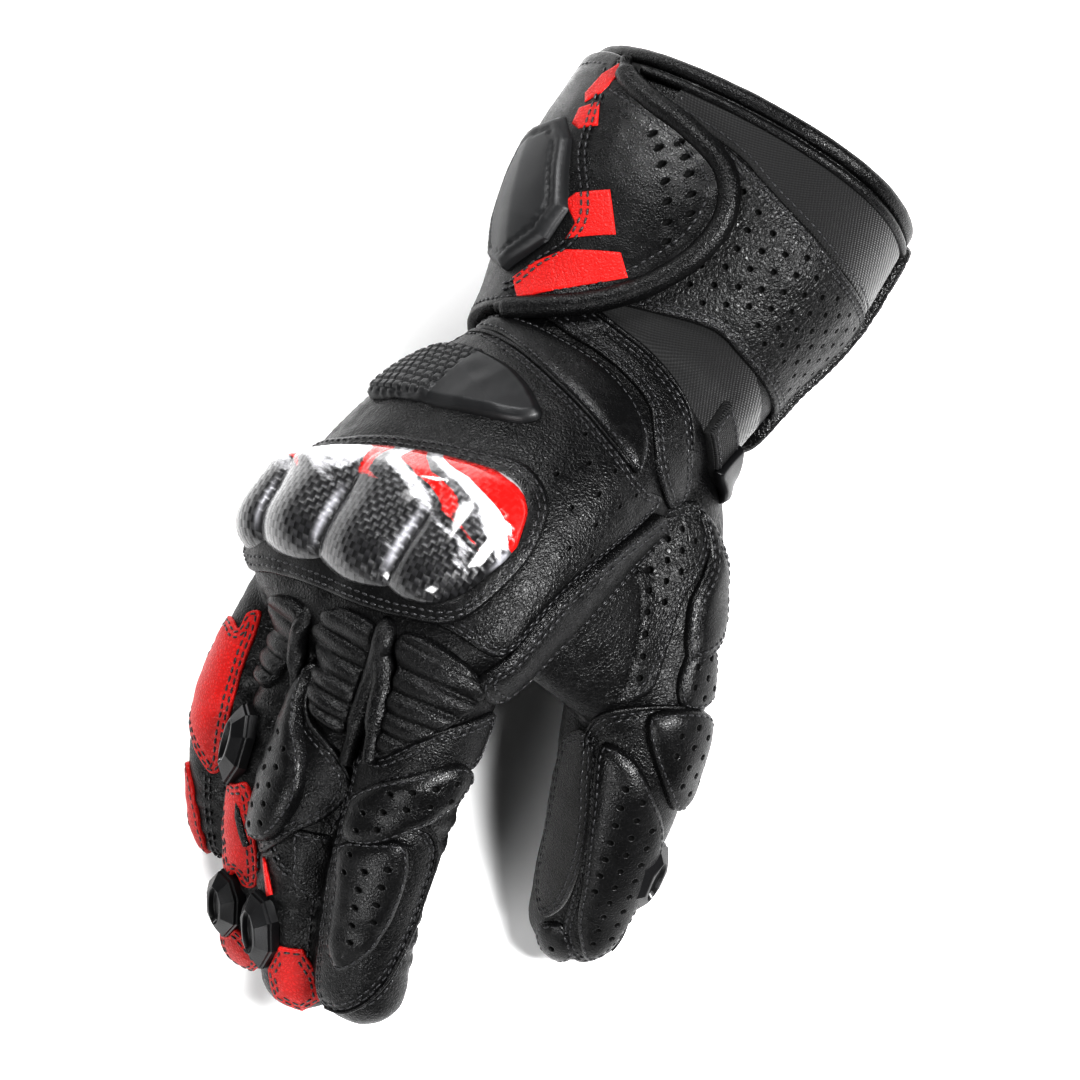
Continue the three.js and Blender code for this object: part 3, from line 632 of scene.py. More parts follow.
def body_node(k):
    """The node of the frame that a face of the body belongs to."""
    face = body_faces[k]
    limb = body_marks[face[0]][0]
    _, y, z = body_points[list(face)].mean(0)
    if limb in FINGERS:
        return f"{limb}_finger"
    if limb == "thumb":
        return "thumb"
    if y > WRIST_TOP:
        return "cuff_sleeve"
    if y > WRIST_BOTTOM:
        return "wrist_stretch"
    return "hand_back" if z > SIDE_SEAM else "palm"


# Where the fingers bend and how far each bend's creases spread.
BENDS = ((62, 14), (98, 11))
BEND_CREASE = 0.42
CUFF_SLACK = 0.45
# The lumps of the slack leather: how broad and how high.
BROAD = (16, 0.55)
FINE = (5, 0.16)


def crumpled(points, marks):
    """The skin with its soft creases: across the fingers' bends, and slack on the back and the thumb."""
    normals = np.empty(len(body_mesh.vertices) * 3)
    body_mesh.vertices.foreach_get("normal", normals)
    normals = normals.reshape(-1, 3)
    slack = wavy(points * (1, 0.55, 1), BROAD[0]) * BROAD[1] + wavy(points, FINE[0]) * FINE[1]
    push = slack.copy()
    for k, (limb, s, degrees) in enumerate(marks):
        if limb in FINGERS:
            bend = sum(math.exp(-(((s - joint) / spread) ** 2)) for joint, spread in BENDS)
            bent = s * 0.85 + math.sin(math.radians(degrees * 2)) + 2 * slack[k]
            push[k] += BEND_CREASE * bend * math.sin(bent)
        if limb == "cuff":
            push[k] *= CUFF_SLACK
    return points + normals * push[:, None]


body_points = crumpled(body_points, body_marks)
skin = BVHTree.FromPolygons([tuple(p) for p in body_points], body_faces)
REACH_OUT = 7.0
LOOSEST = 6.0
ROW_TURN = 0.87


def seated(limb, s, degrees):
    """Places of a limb, which way is out there, and how far out of each the body's skin lies."""
    points = limb.surface(s, degrees)
    out = limb.outward(s, degrees)
    shift = np.zeros(len(points))
    for k, (point, way) in enumerate(zip(points, out)):
        hit, _, _, far = skin.ray_cast(Vector(point + way * REACH_OUT), Vector(-way), REACH_OUT + LOOSEST)
        if hit is not None:
            shift[k] = REACH_OUT - far
    return points, out, shift


def scale_at(limb, outline):
    """The middle of an outline, and the millimetres of one degree round the limb there."""
    centre = np.array(outline, float).mean(0)
    around = limb.surface(centre[0], centre[1] + 1) - limb.surface(centre[0], centre[1] - 1)
    return centre, np.linalg.norm(around) / 2


# The rings of a pricked hole from its rim to its floor: how much wider than the hole, and how deep.
PIT_RINGS = ((0.4, 0.0), (0.1, 0.0), (0.0, 0.25), (-0.1, 1.0))
CLEAR_OF_HOLE = 0.9
BIG_HOLE = 1.2
# The rows of points beside a panel's edge, how far in from it, and the step between points along it.
EDGE_ROWS = (0.4, 1.0)
EDGE_STEP = 1.0


def turned(points, turn):
    """Flat points turned about the origin, in radians."""
    c, s = math.cos(turn), math.sin(turn)
    return points @ np.array([[c, s], [-s, c]])


def outside_hole(points, x, y, long, wide, turn):
    """Whether each point is clear of a hole."""
    local = turned(points - (x, y), -turn)
    return np.hypot(local[:, 0] / (long + CLEAR_OF_HOLE), local[:, 1] / (wide + CLEAR_OF_HOLE)) > 1


def hole_rings(x, y, long, wide, turn):
    """The rings of points of a hole, and how deep each lies from 0 to 1."""
    count = 10 if long < BIG_HOLE else 20
    angle = np.arange(count) * 2 * math.pi / count
    for grow, pit in PIT_RINGS:
        ring = np.stack([(long + grow) * np.cos(angle), (wide + grow) * np.sin(angle)], 1)
        yield turned(ring, turn) + (x, y), pit
    yield np.array([[x, y]]), 1.0


class Patch:
    """A panel of a limb inside an outline of station and degrees, meshed flat and then seated."""

    def __init__(self, on, outline, grid, holes, corners):
        self.limb = limbs[on]
        self.centre, self.per_degree = scale_at(self.limb, outline)
        flat = self.flat(outline)
        if corners:
            legs = [spline_part(p, p, q, q, EDGE_STEP) for p, q in zip(flat, np.roll(flat, -1, 0))]
            self.edge = np.vstack(legs)
        else:
            self.edge = smooth_closed(flat, EDGE_STEP)
        self.mesh(grid, holes)
        self.seat()

    def flat(self, places):
        places = np.asarray(places, float)
        return np.stack([places[..., 0], (places[..., 1] - self.centre[1]) * self.per_degree], -1)

    def place(self, flat):
        return flat[:, 0], flat[:, 1] / self.per_degree + self.centre[1]

    def inset(self, depth):
        """The outline moved in by `depth`, as one closed line or the open runs that are left of it."""
        edge = self.edge
        ahead = unit(np.roll(edge, -1, 0) - np.roll(edge, 1, 0))
        inward = np.stack([-ahead[:, 1], ahead[:, 0]], 1)
        area = (edge[:, 0] * np.roll(edge[:, 1], -1) - np.roll(edge[:, 0], -1) * edge[:, 1]).sum()
        moved = edge + inward * depth * np.sign(area)
        kept = edge_distance(moved, edge) > depth * 0.93
        if kept.all():
            return [np.vstack([moved, moved[:1]])]
        start = int(np.argmin(kept))
        runs, run = [], []
        for k in range(len(moved)):
            i = (start + k) % len(moved)
            if kept[i]:
                run.append(moved[i])
            elif run:
                runs.append(np.array(run))
                run = []
        if run:
            runs.append(np.array(run))
        return [r for r in runs if len(r) > 3]

    def mesh(self, grid, holes):
        """The flat mesh: the edge, rows beside it, a lattice inside them and the rings of the holes."""
        low, high = self.edge.min(0), self.edge.max(0)
        columns = np.arange(low[0] - grid, high[0] + grid, grid)
        rows = np.arange(low[1], high[1] + grid, grid * ROW_TURN)
        x, y = np.meshgrid(columns, rows)
        x[1::2] += grid / 2
        lattice = np.column_stack([x.ravel(), y.ravel()])
        lattice = lattice[edge_distance(lattice, self.edge) > max(EDGE_ROWS) + grid * 0.5]
        for hole in holes:
            lattice = lattice[outside_hole(lattice, *hole)]
        points = [self.edge]
        for row in EDGE_ROWS:
            for run in self.inset(row):
                points.append(run[:-1] if np.allclose(run[0], run[-1]) else run)
        points.append(lattice)
        pits = [np.zeros(len(some)) for some in points]
        for hole in holes:
            for ring, pit in hole_rings(*hole):
                points.append(ring)
                pits.append(np.full(len(ring), pit))
        flat = np.vstack(points)
        pit = np.concatenate(pits)
        size = len(self.edge)
        border = [(k, (k + 1) % size) for k in range(size)]
        corners, _, faces, origin, _, _ = delaunay_2d_cdt([Vector(p) for p in flat], border, [], 1, 1e-5)
        first = np.array([ids[0] if ids else -1 for ids in origin])
        self.uv = np.array([tuple(p) for p in corners])
        self.pit = np.where(first >= 0, pit[first], 0)
        self.faces = [tuple(face) for face in faces]
        self.inward = np.maximum(edge_distance(self.uv, self.edge), 0)
        order = {tuple(np.round(p, 4)): k for k, p in enumerate(self.uv)}
        loop = [order.get(tuple(np.round(p, 4))) for p in self.edge]
        self.loop = [k for k in loop if k is not None]

    def seat(self):
        """The panel's foot on the body's skin, evened out so that it spans the skin's small creases."""
        s, degrees = self.place(self.uv)
        points, self.out, shift = seated(self.limb, s, degrees)
        links = np.array([(f[k], f[(k + 1) % len(f)]) for f in self.faces for k in range(len(f))])
        weight = np.bincount(links.ravel(), minlength=len(shift))
        for _ in range(6):
            total = np.bincount(links[:, 0], shift[links[:, 1]], len(shift))
            total += np.bincount(links[:, 1], shift[links[:, 0]], len(shift))
            shift = 0.4 * shift + 0.6 * total / np.maximum(weight, 1)
        self.foot = points + self.out * shift[:, None]
        a, b, c = self.faces[len(self.faces) // 2][:3]
        turned = np.cross(self.foot[b] - self.foot[a], self.foot[c] - self.foot[a]) @ self.out[a]
        if turned < 0:
            self.faces = [face[::-1] for face in self.faces]

    def raised(self, height, under):
        """Points and faces of the closed panel, its top at `height` over the skin."""
        top = self.foot + self.out * height[:, None]
        loop = self.loop
        low = self.foot[loop] + self.out[loop] * under
        count = len(top)
        faces = list(self.faces)
        a, b = loop[0], loop[1]
        forward = any(a in f and f[(f.index(a) + 1) % len(f)] == b for f in self.faces if a in f and b in f)
        ring = [(k, (k + 1) % len(loop)) for k in range(len(loop))]
        for k, j in ring:
            wall = (loop[k], count + k, count + j, loop[j])
            faces.append(wall if forward else wall[::-1])
        rim = [Vector(self.uv[k]) for k in loop]
        _, _, bottom, origin, _, _ = delaunay_2d_cdt(rim, ring, [], 1, 1e-6)
        first = [ids[0] if ids else 0 for ids in origin]
        for face in bottom:
            corners = [first[k] for k in face]
            a, b, c = low[corners[:3]]
            inside_out = np.cross(b - a, c - a) @ self.out[loop[corners[0]]] > 0
            faces.append(tuple(count + k for k in (corners[::-1] if inside_out else corners)))
        return np.vstack([top, low]), faces


FAR_FROM_EDGE = 9.0


class Piece:
    """What one node looks like: points, faces, and for each point its lay, pit and mark."""

    def __init__(self):
        self.points, self.faces, self.layers, self.tints = [], [], [], []
        self.count = 0

    def add(self, points, faces, lay_over=None, pit=None, mark=None, tint=0):
        n = len(points)
        self.points.append(points)
        self.faces += [tuple(i + self.count for i in face) for face in faces]
        self.tints += [tint] * len(faces)
        places, marks = np.zeros((2, n, 3))
        if lay_over is None:
            places += FAR_FROM_EDGE
        else:
            places[:len(lay_over)] = lay_over
        if pit is not None:
            marks[:len(pit), 1] = pit
        if mark is not None:
            marks[:len(mark)] = mark
        self.layers.append((places, marks))
        self.count += n

    def finish(self, name, slot, finishes, nodes=(), padded=None, flat=False):
        if not self.count:
            raise ValueError(f"{name} is empty")
        points = lay(np.vstack(self.points))
        points[:, 2] = np.maximum(points[:, 2], 0.0)
        thing = object_from(name, points, self.faces)
        mesh = thing.data
        for layer, key in ((0, "lay"), (1, "mark")):
            data = np.vstack([pair[layer] for pair in self.layers])
            mesh.attributes.new(key, "FLOAT_VECTOR", "POINT").data.foreach_set("vector", data.ravel())
        for material in finishes:
            mesh.materials.append(FINISHES[material])
        if len(finishes) > 1 and len(self.tints) == len(mesh.polygons):
            mesh.polygons.foreach_set("material_index", self.tints)
        mesh.polygons.foreach_set("use_smooth", [not flat] * len(mesh.polygons))
        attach(thing, "root")
        if nodes:
            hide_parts(*nodes)
        return thing


def rounded(inward, thick, edge=1.0, start=0.35):
    """The height of a sheet with a rounded edge."""
    t = np.clip(inward / edge, 0, 1)
    return thick * (start + (1 - start) * np.sqrt(1 - (1 - t) ** 2))


def crowned(inward, width):
    """How high a padded panel stands, from 0 at its edge to 1."""
    t = np.clip(inward / width, 0, 1)
    return np.sqrt(1 - (1 - t) ** 2.4)


OVER_PANELS = 12.0
STITCH_LONG = 1.9
STITCH_PITCH = 2.7
THREAD = 0.40
SUNK = 0.15
# A stitch's rings: how far along it, as a share of its length, and how thick there.
STITCH_RINGS = [(-0.5, 0.35), (-0.34, 0.85), (0, 1.0), (0.34, 0.85), (0.5, 0.35)]
seams = Piece()


def sew(points, out):
    """Sunk stitches along a line of points with known outward directions."""
    spots = spaced(np.hstack([points, out]), STITCH_PITCH)
    if len(spots) < 2:
        return
    ahead = unit(np.gradient(spots[:, :3], axis=0))
    up = unit(spots[:, 3:])
    side = unit(np.cross(up, ahead))
    up = np.cross(ahead, side)
    angles = np.arange(6) * math.pi / 3
    shape = []
    for along, width in STITCH_RINGS:
        ring = [(math.cos(a) * width, math.sin(a) * width - SUNK) for a in angles]
        shape += [(along * STITCH_LONG, x * THREAD, z * THREAD) for x, z in ring]
    shape = np.array(shape)
    faces = ring_faces(len(STITCH_RINGS), len(angles), capped=True)
    for spot, t, b, n in zip(spots[:, :3], ahead, side, up):
        lean = random.uniform(-0.1, 0.1)
        across = b + t * lean
        seams.add(spot + shape[:, :1] * (t - b * lean) + shape[:, 1:2] * across + shape[:, 2:] * n, faces)


def on_top(patch, flat, top):
    """Places on the finished top of a panel, and which way is out there."""
    s, degrees = patch.place(flat)
    found, ways = [], []
    for point, way in zip(patch.limb.surface(s, degrees), patch.limb.outward(s, degrees)):
        hit = top.ray_cast(Vector(point + way * OVER_PANELS), Vector(-way), 2 * OVER_PANELS)[0]
        if hit is not None:
            found.append(tuple(hit))
            ways.append(way)
    return np.array(found), np.array(ways)


def hole_grid(edge, spacing, inset, size):
    """Staggered holes inside an outline, at least `inset` in from it."""
    low, high = edge.min(0) - spacing, edge.max(0) + spacing
    middle = (low + high) / 2
    reach = int(np.linalg.norm(high - low) / spacing / 2) + 2
    spots = []
    for j in range(-reach, reach + 1):
        for i in range(-reach, reach + 1):
            spots.append(((i + (j % 2) / 2) * spacing, j * spacing * ROW_TURN))
    spots = np.array(spots) + middle
    return [(x, y, size, size, 0.0) for x, y in spots[edge_distance(spots, edge) > inset]]


def holes_at(on, outline, places, long, wide, turn=0.0):
    """Holes of a panel at places of station and degrees, in the flat panel's millimetres."""
    centre, per_degree = scale_at(limbs[on], outline)
    return [(s, (degrees - centre[1]) * per_degree, long, wide, turn) for s, degrees in places]


HOLE_DEEP = 1.3
GROOVE = 0.38
GROOVE_WIDTH = 0.55


def panel(name, on, outline, thick=1.5, lift=0.0, finish="smooth", slot="leather", edge=1.0, crown=0.0,
          crown_width=7.0, rows=(), holes=None, grid=1.4, slack=0.0, relief=None, padded=None, piece=None,
          tint=0, corners=False, under=-1.2, hole_list=()):
    """A sewn panel. rows are the stitched lines' distances in from its edge."""
    pricked = list(hole_list)
    if holes:
        centre, per_degree = scale_at(limbs[on], outline)
        flat = (outline - centre * (0, 1)) * (1, per_degree)
        pricked += hole_grid(smooth_closed(flat, EDGE_STEP), **holes)
    patch = Patch(on, outline, grid, pricked, corners)
    height = lift + rounded(patch.inward, thick, edge)
    if crown:
        height = height + crown * crowned(patch.inward, crown_width)
    for row in rows:
        height = height - GROOVE * np.exp(-(((patch.inward - row) / GROOVE_WIDTH) ** 2))
    if slack:
        lumps = wavy(patch.foot, 9) + 0.4 * wavy(patch.foot, 3.5)
        height = height + slack * lumps * np.clip(patch.inward / 3, 0, 1)
    if relief is not None:
        height = height + relief(patch)
    height = height - patch.pit * HOLE_DEEP
    points, faces = patch.raised(height, under)
    over = np.column_stack([patch.uv, patch.inward])
    target = piece or Piece()
    target.add(points, faces, over, patch.pit, tint=tint)
    top = BVHTree.FromPolygons([tuple(p) for p in points], faces)
    for row in rows:
        for run in patch.inset(row):
            spots, out = on_top(patch, run, top)
            if len(spots) > 3:
                sew(spots, out)
    if piece is None:
        target.finish(name, slot, [finish], [name] if name in frame_nodes else [], padded)
    return patch


def path_on(on, path, lift, step=1.2):
    """A smooth line over a limb through places of station and degrees, seated and lifted."""
    limb = limbs[on]
    scale = np.array([1, scale_at(limb, path)[1]])
    line = smooth_open(path * scale, step) / scale
    points, out, shift = seated(limb, line[:, 0], line[:, 1])
    if len(shift) > 7:
        shift = np.convolve(np.pad(shift, 3, mode="edge"), np.ones(7) / 7, "valid")
    return points + out * (shift + lift)[:, None], out


def tube(points, radius, sides, up, closed=False):
    """A round roll along points."""
    count = len(points)
    if closed:
        ahead = unit(np.roll(points, -1, 0) - np.roll(points, 1, 0))
    else:
        ahead = unit(np.gradient(points, axis=0))
    side = unit(np.cross(up, ahead))
    top = np.cross(ahead, side)
    radius = np.broadcast_to(np.asarray(radius, float), (count,))
    rings = []
    for k in range(sides):
        angle = 2 * math.pi * k / sides
        rings.append(points + (side * math.cos(angle) + top * math.sin(angle)) * radius[:, None])
    grid = np.stack(rings, 1).reshape(-1, 3)
    faces = ring_faces(count, sides, closed, capped=not closed)
    round_it = np.tile(np.arange(sides) * 1.0, count)
    far = np.full(count * sides, FAR_FROM_EDGE)
    return grid, faces, np.column_stack([np.repeat(run_length(points), sides), round_it, far])


def roll(name, points, radius, sides, up, closed=False):
    """A round roll of leather along points, as a piece of its own."""
    piece = Piece()
    piece.add(*tube(points, radius, sides, up, closed))
    piece.finish(name, "leather", ["smooth"], [name] if name in frame_nodes else [])


ROWS_APART = 1.8


def seam(on, path, lift, rows):
    """Stitched lines laid beside each other over a limb."""
    points, out = path_on(on, path, lift)
    ahead = unit(np.gradient(points, axis=0))
    side = unit(np.cross(out, ahead))
    for row in rows:
        sew(points + side * row * ROWS_APART, out)


def strip_outline(rows):
    """A closed outline round rows of degrees, first station and last station."""
    degrees = [row[0] for row in rows]
    fine = np.linspace(degrees[0], degrees[-1], len(rows) * 3)
    first, last = between(rows, 1, fine), between(rows, 2, fine)
    return [*zip(first, fine), *zip(last[::-1], fine[::-1])]


def build_base():
    """The skin's own pieces, each with the faces of the body that belong to it, and the lining."""
    slots = {"wrist_stretch": ("knit", "knit"), "cuff_sleeve": ("leather", "smooth")}
    groups = {}
    for k in range(len(body_faces)):
        if not closes_mouth(k):
            groups.setdefault(body_node(k), []).append(k)
    over = np.array([(s, math.radians(degrees) * 20, FAR_FROM_EDGE) for _, s, degrees in body_marks])
    for node, ids in groups.items():
        used = sorted({i for k in ids for i in body_faces[k]})
        renumber = {old: new for new, old in enumerate(used)}
        faces = [tuple(renumber[i] for i in body_faces[k]) for k in ids]
        piece = Piece()
        piece.add(body_points[used], faces, over[used])
        if node == "cuff_sleeve":
            add_lining(piece)
        slot, finish = slots.get(node, ("leather", "soft"))
        piece.finish(node, slot, [finish], [node])


def add_lining(piece):
    """The inside of the cuff, from its mouth to deep in the hand."""
    cuff = limbs["cuff"]
    stations = np.linspace(1.0, cuff.length - 1, 60)
    angles = np.arange(0, 360, 4.0)
    ring = cuff.surface(stations[:, None], angles[None], -SKIN)
    lumps = wavy(ring.reshape(-1, 3), 14).reshape(ring.shape[:2])
    axis = cuff.section(stations)[0][:, None]
    ring = ring + unit(axis - ring) * (0.6 + 0.6 * lumps)[..., None]
    size = len(angles)
    faces = [(a, d, c, b) for a, b, c, d in ring_faces(len(stations), size)]
    points = ring.reshape(-1, 3)
    last = (len(stations) - 1) * size
    faces += [(last + i, len(points), last + (i + 1) % size) for i in range(size)]
    over = np.tile((0, 0, FAR_FROM_EDGE), (len(points) + 1, 1))
    piece.add(np.vstack([points, axis[-1]]), faces, over)


build_base()


def ribs(count, first, last, deep):
    """Rolls across a finger between two stations."""
    def relief(patch):
        s, _ = patch.place(patch.uv)
        t = (s - first) / (last - first) * count
        hump = np.sqrt(np.maximum(1 - (2 * (t % 1) - 1) ** 2, 0))
        return deep * hump * np.clip(patch.inward / 1.5, 0, 1)
    return relief


# The cuff's pieces: outlines of station and degrees, or rows of degrees, first station and last station.
BAND = [(-24, 3, 27), (24, 3, 26), (44, 3, 23), (59, 3, 20), (73, 3, 15.5), (100, 3, 12)]
PANEL = [
    (-24, 27, 68), (17, 27, 67), (34, 25, 66), (50, 22, 64), (71, 16.5, 68), (86, 14, 71), (100, 12.5, 74),
]
UNDERLAP = [(3, 221), (3, 280), (3, 341), (35, 338), (74, 332), (74, 280), (74, 222), (35, 219)]
FLAP = [
    (3, 126), (8, 124), (12, 109), (17, 87), (24, 73), (32, 69), (45, 70), (57, 77), (71, 91), (83, 113),
    (89, 132), (89, 170), (88, 214), (45, 216), (4, 214), (3, 170),
]
PIPING = [
    (3, 124), (6, 122), (9, 118), (13, 105), (16, 90), (22, 74), (32, 67.5), (45, 68), (58, 75), (72, 90),
    (85, 113), (92, 132),
]
RIM_ROLL = [(4.4, 117), (4.4, 95), (4.4, 65), (4.4, 35), (4.6, 8), (5.0, -18)]
FLAP_LIFT = 1.9
FLAP_TOP = 4.2
FLAP_OVALS = [
    (22, 99), (25, 95), (29, 91.5), (33, 88), (38, 84.5), (43, 81.5), (48, 79),
    (21, 90), (24, 86), (28, 82.5), (33, 79), (38, 76.5),
]
RED_ON_FLAP = [
    [(4, 123), (8, 121.5), (16, 123.5), (20, 128), (17, 131), (10, 129)],
    [(22, 129), (18.5, 122), (25.5, 117.5), (28, 124), (27, 128)],
    [(45, 114), (41, 103), (52, 95), (58, 112), (53, 110.5), (48, 117)],
    [(84, 122), (75, 129), (68, 122), (61, 111), (56, 91), (62, 85)],
]
FLAP_STITCHES = [
    (16, 124), (24, 121.5), (34, 118), (44, 111), (51, 108), (58, 110), (68, 120), (77, 127), (80, 134),
]
PLATE = [(25, 133), (31, 124), (50, 114), (60, 118), (73, 134), (68, 150), (50, 160), (32, 152)]
RUBBER = 4.2
PIPE = 3.3


def plate_relief(patch):
    """Flat facets that fall from a bent ridge to a broad bevel."""
    x, y = (patch.uv - patch.uv.mean(0)).T
    ridge = 1.1 - 0.10 * np.abs(y + 0.25 * x) - 0.05 * np.abs(x - 6)
    bevel = np.minimum(patch.inward * 0.9, 2.0) - 2.0
    step = -0.5 * (np.abs(patch.inward - 4.6) < 0.5)
    return ridge + bevel + step


def build_cuff():
    panel("cuff_band", "cuff", strip_outline(BAND), thick=1.1, lift=0.2, finish="knit", grid=2.2, rows=(1.8,))
    panel("cuff_panel", "cuff", strip_outline(PANEL), thick=1.8, lift=0.2, finish="pebble", rows=(1.5, 3.3),
          slot="perforated_leather", holes=dict(spacing=6.2, inset=5.5, size=0.8), slack=0.2)
    panel("cuff_underlap", "cuff", UNDERLAP, thick=2.2, lift=1.9, finish="pebble", slot="perforated_leather",
          grid=2.2, rows=(2.2, 4.0), edge=1.6)
    ovals = holes_at("cuff", FLAP, FLAP_OVALS, 1.45, 0.8, 0.62)
    flap = Piece()
    panel("cuff_flap", "cuff", FLAP, thick=FLAP_TOP - FLAP_LIFT, lift=FLAP_LIFT, grid=1.7, edge=1.5,
          rows=(4.6,), hole_list=ovals, piece=flap, under=0.2, slack=0.2)
    for outline in RED_ON_FLAP:
        panel("red", "cuff", outline, thick=0.35, lift=FLAP_TOP, piece=flap, tint=1, grid=1.3, corners=True,
              under=FLAP_TOP - 0.8, edge=0.3)
    seam("cuff", FLAP_STITCHES, FLAP_TOP + 0.4, (-0.6, 0.6))
    flap.finish("cuff_flap", "perforated_leather", ["satin", "red"], ["cuff_flap"])
    points, out = path_on("cuff", PIPING, PIPE)
    count = np.arange(len(points))
    ends = np.clip(np.minimum(count, count[::-1]) / 5, 0.55, 1)
    roll("flap_piping", points, PIPE * ends, 20, out)
    limb = limbs["cuff"]
    angles = np.arange(0, 360, 2.5)
    ring = limb.surface(np.full(len(angles), -0.4), angles, -0.9)
    away = unit(ring - limb.section(np.array([0.0]))[0])
    roll("rim_binding", ring, 2.6 + 0.12 * wavy(ring, 8), 18, away, closed=True)
    points, out = path_on("cuff", RIM_ROLL, 1.1)
    roll("rim_roll", points, 1.5, 14, out)
    plate = Piece()
    panel("cuff_plate", "cuff", PLATE, thick=RUBBER, lift=FLAP_TOP - 0.6, piece=plate, relief=plate_relief,
          grid=0.9, corners=True, edge=0.5, under=FLAP_TOP - 1.4)
    plate.finish("cuff_plate", "moulded_rubber", ["rubber"], ["cuff_plate"])


# The wrist, the back of the hand and the palm, in the same way.
WRIST_PANEL = [
    (8, 140), (10, 100), (11, 72), (12, 50), (14, 26), (19, 4), (24, -18), (32, -16), (34, 14), (30, 27),
    (24, 39), (21.5, 58), (20, 84), (17, 115), (15, 140),
]
LEAF = [
    (23, 122), (22, 100), (23, 80), (24, 62), (27, 44), (32, 30), (37, 24), (41, 22), (41, 42), (38, 64),
    (33, 90), (29, 110), (27, 128),
]
SADDLE = [
    (26, 140), (31, 100), (37, 68), (41, 44), (42, 26), (40, 10), (36, -4), (50, -4), (66, 2), (88, 8),
    (104, 12), (108, 40), (109, 80), (110, 112), (104, 148), (80, 150), (50, 150), (36, 150),
]
SADDLE_HOLES = [
    (45, 50), (51, 41), (47, 31), (55, 29), (52, 17), (61, 20), (63, 34), (59, 47), (67, 10), (71, 23),
    (45, 14),
]
BACK_PLATE = [
    (44, 140), (38, 128), (38, 102), (40, 86), (44, 74), (49, 66), (53, 69), (58, 90), (60, 114), (60, 138),
]
STRAP = [(0, -52), (0, -20), (0, 12), (12, 8), (12, -20), (12, -52)]
TAB = [(-0.5, -46), (-0.5, -16), (12.5, -16), (12.5, -46)]
GUARD = [
    (41, 79, 87), (46, 71, 99), (57, 67, 106), (75, 69, 109), (98, 73, 110), (125, 79, 111), (145, 83, 111),
    (158, 88, 108),
]
GUARD_RIM = [
    (35, 78, 88), (41, 67, 104), (57, 62, 111), (75, 65, 114), (98, 69, 115), (125, 75, 116), (147, 78, 116),
    (163, 85, 111),
]
GUARD_GRID = (90, 260)
GUARD_FROM = 40
GUARD_OVER = 119
GUARD_FOOT = 1.9
GUARD_RISE = 8.5
VALLEY = 3.8
LOBES = 4
STRIP = [
    (36, -24), (38, -10), (50, -4), (64, 2), (80, 8), (100, 10), (112, 8), (110, -24), (94, -25), (77, -28),
    (53, -28),
]
PALM_PATCHES = {
    "palm_heel_patch": [(18, 196), (18, 250), (22, 300), (44, 296), (52, 250), (48, 200)],
    "palm_grip_patch": [(60, 210), (58, 250), (62, 300), (92, 304), (98, 260), (94, 212)],
}
BRICK = (2.5, 3.4)


def brick_relief(patch):
    """Rows of small bricks towards the little finger, plain bevelled facets towards the thumb."""
    x, y = (patch.uv - patch.uv.mean(0)).T
    row = np.floor(x / BRICK[0])
    across = (x / BRICK[0]) % 1
    along = (y / BRICK[1] + 0.5 * (row % 2)) % 1
    brick = np.minimum(np.minimum(across, 1 - across) * BRICK[0], np.minimum(along, 1 - along) * BRICK[1])
    bricks = 0.9 * np.clip(brick / 0.45, 0, 1)
    facet = 1.2 - 0.11 * np.abs(x + 2 + 0.3 * y)
    share = np.clip((y + 2.0) / 0.8, 0, 1)
    bevel = np.minimum(patch.inward * 0.8, 1.8) - 1.8
    return share * bricks + (1 - share) * facet + bevel


def guard_height(u, v):
    """The hard shell's height: a dome with a valley between each two lobes."""
    crest = np.abs(np.sin(np.pi * LOBES * v)) ** 0.7
    valley = VALLEY * np.clip(u * 1.8, 0, 1) * (1 - crest)
    across = (1 - np.abs(2 * u - 1) ** 3) ** 0.7
    along = (1 - np.abs(2 * v - 1) ** 6) ** 0.7
    brow = 0.9 * np.exp(-(((u - 0.24) / 0.07) ** 2))
    return (GUARD_RISE - valley + brow) * across * along


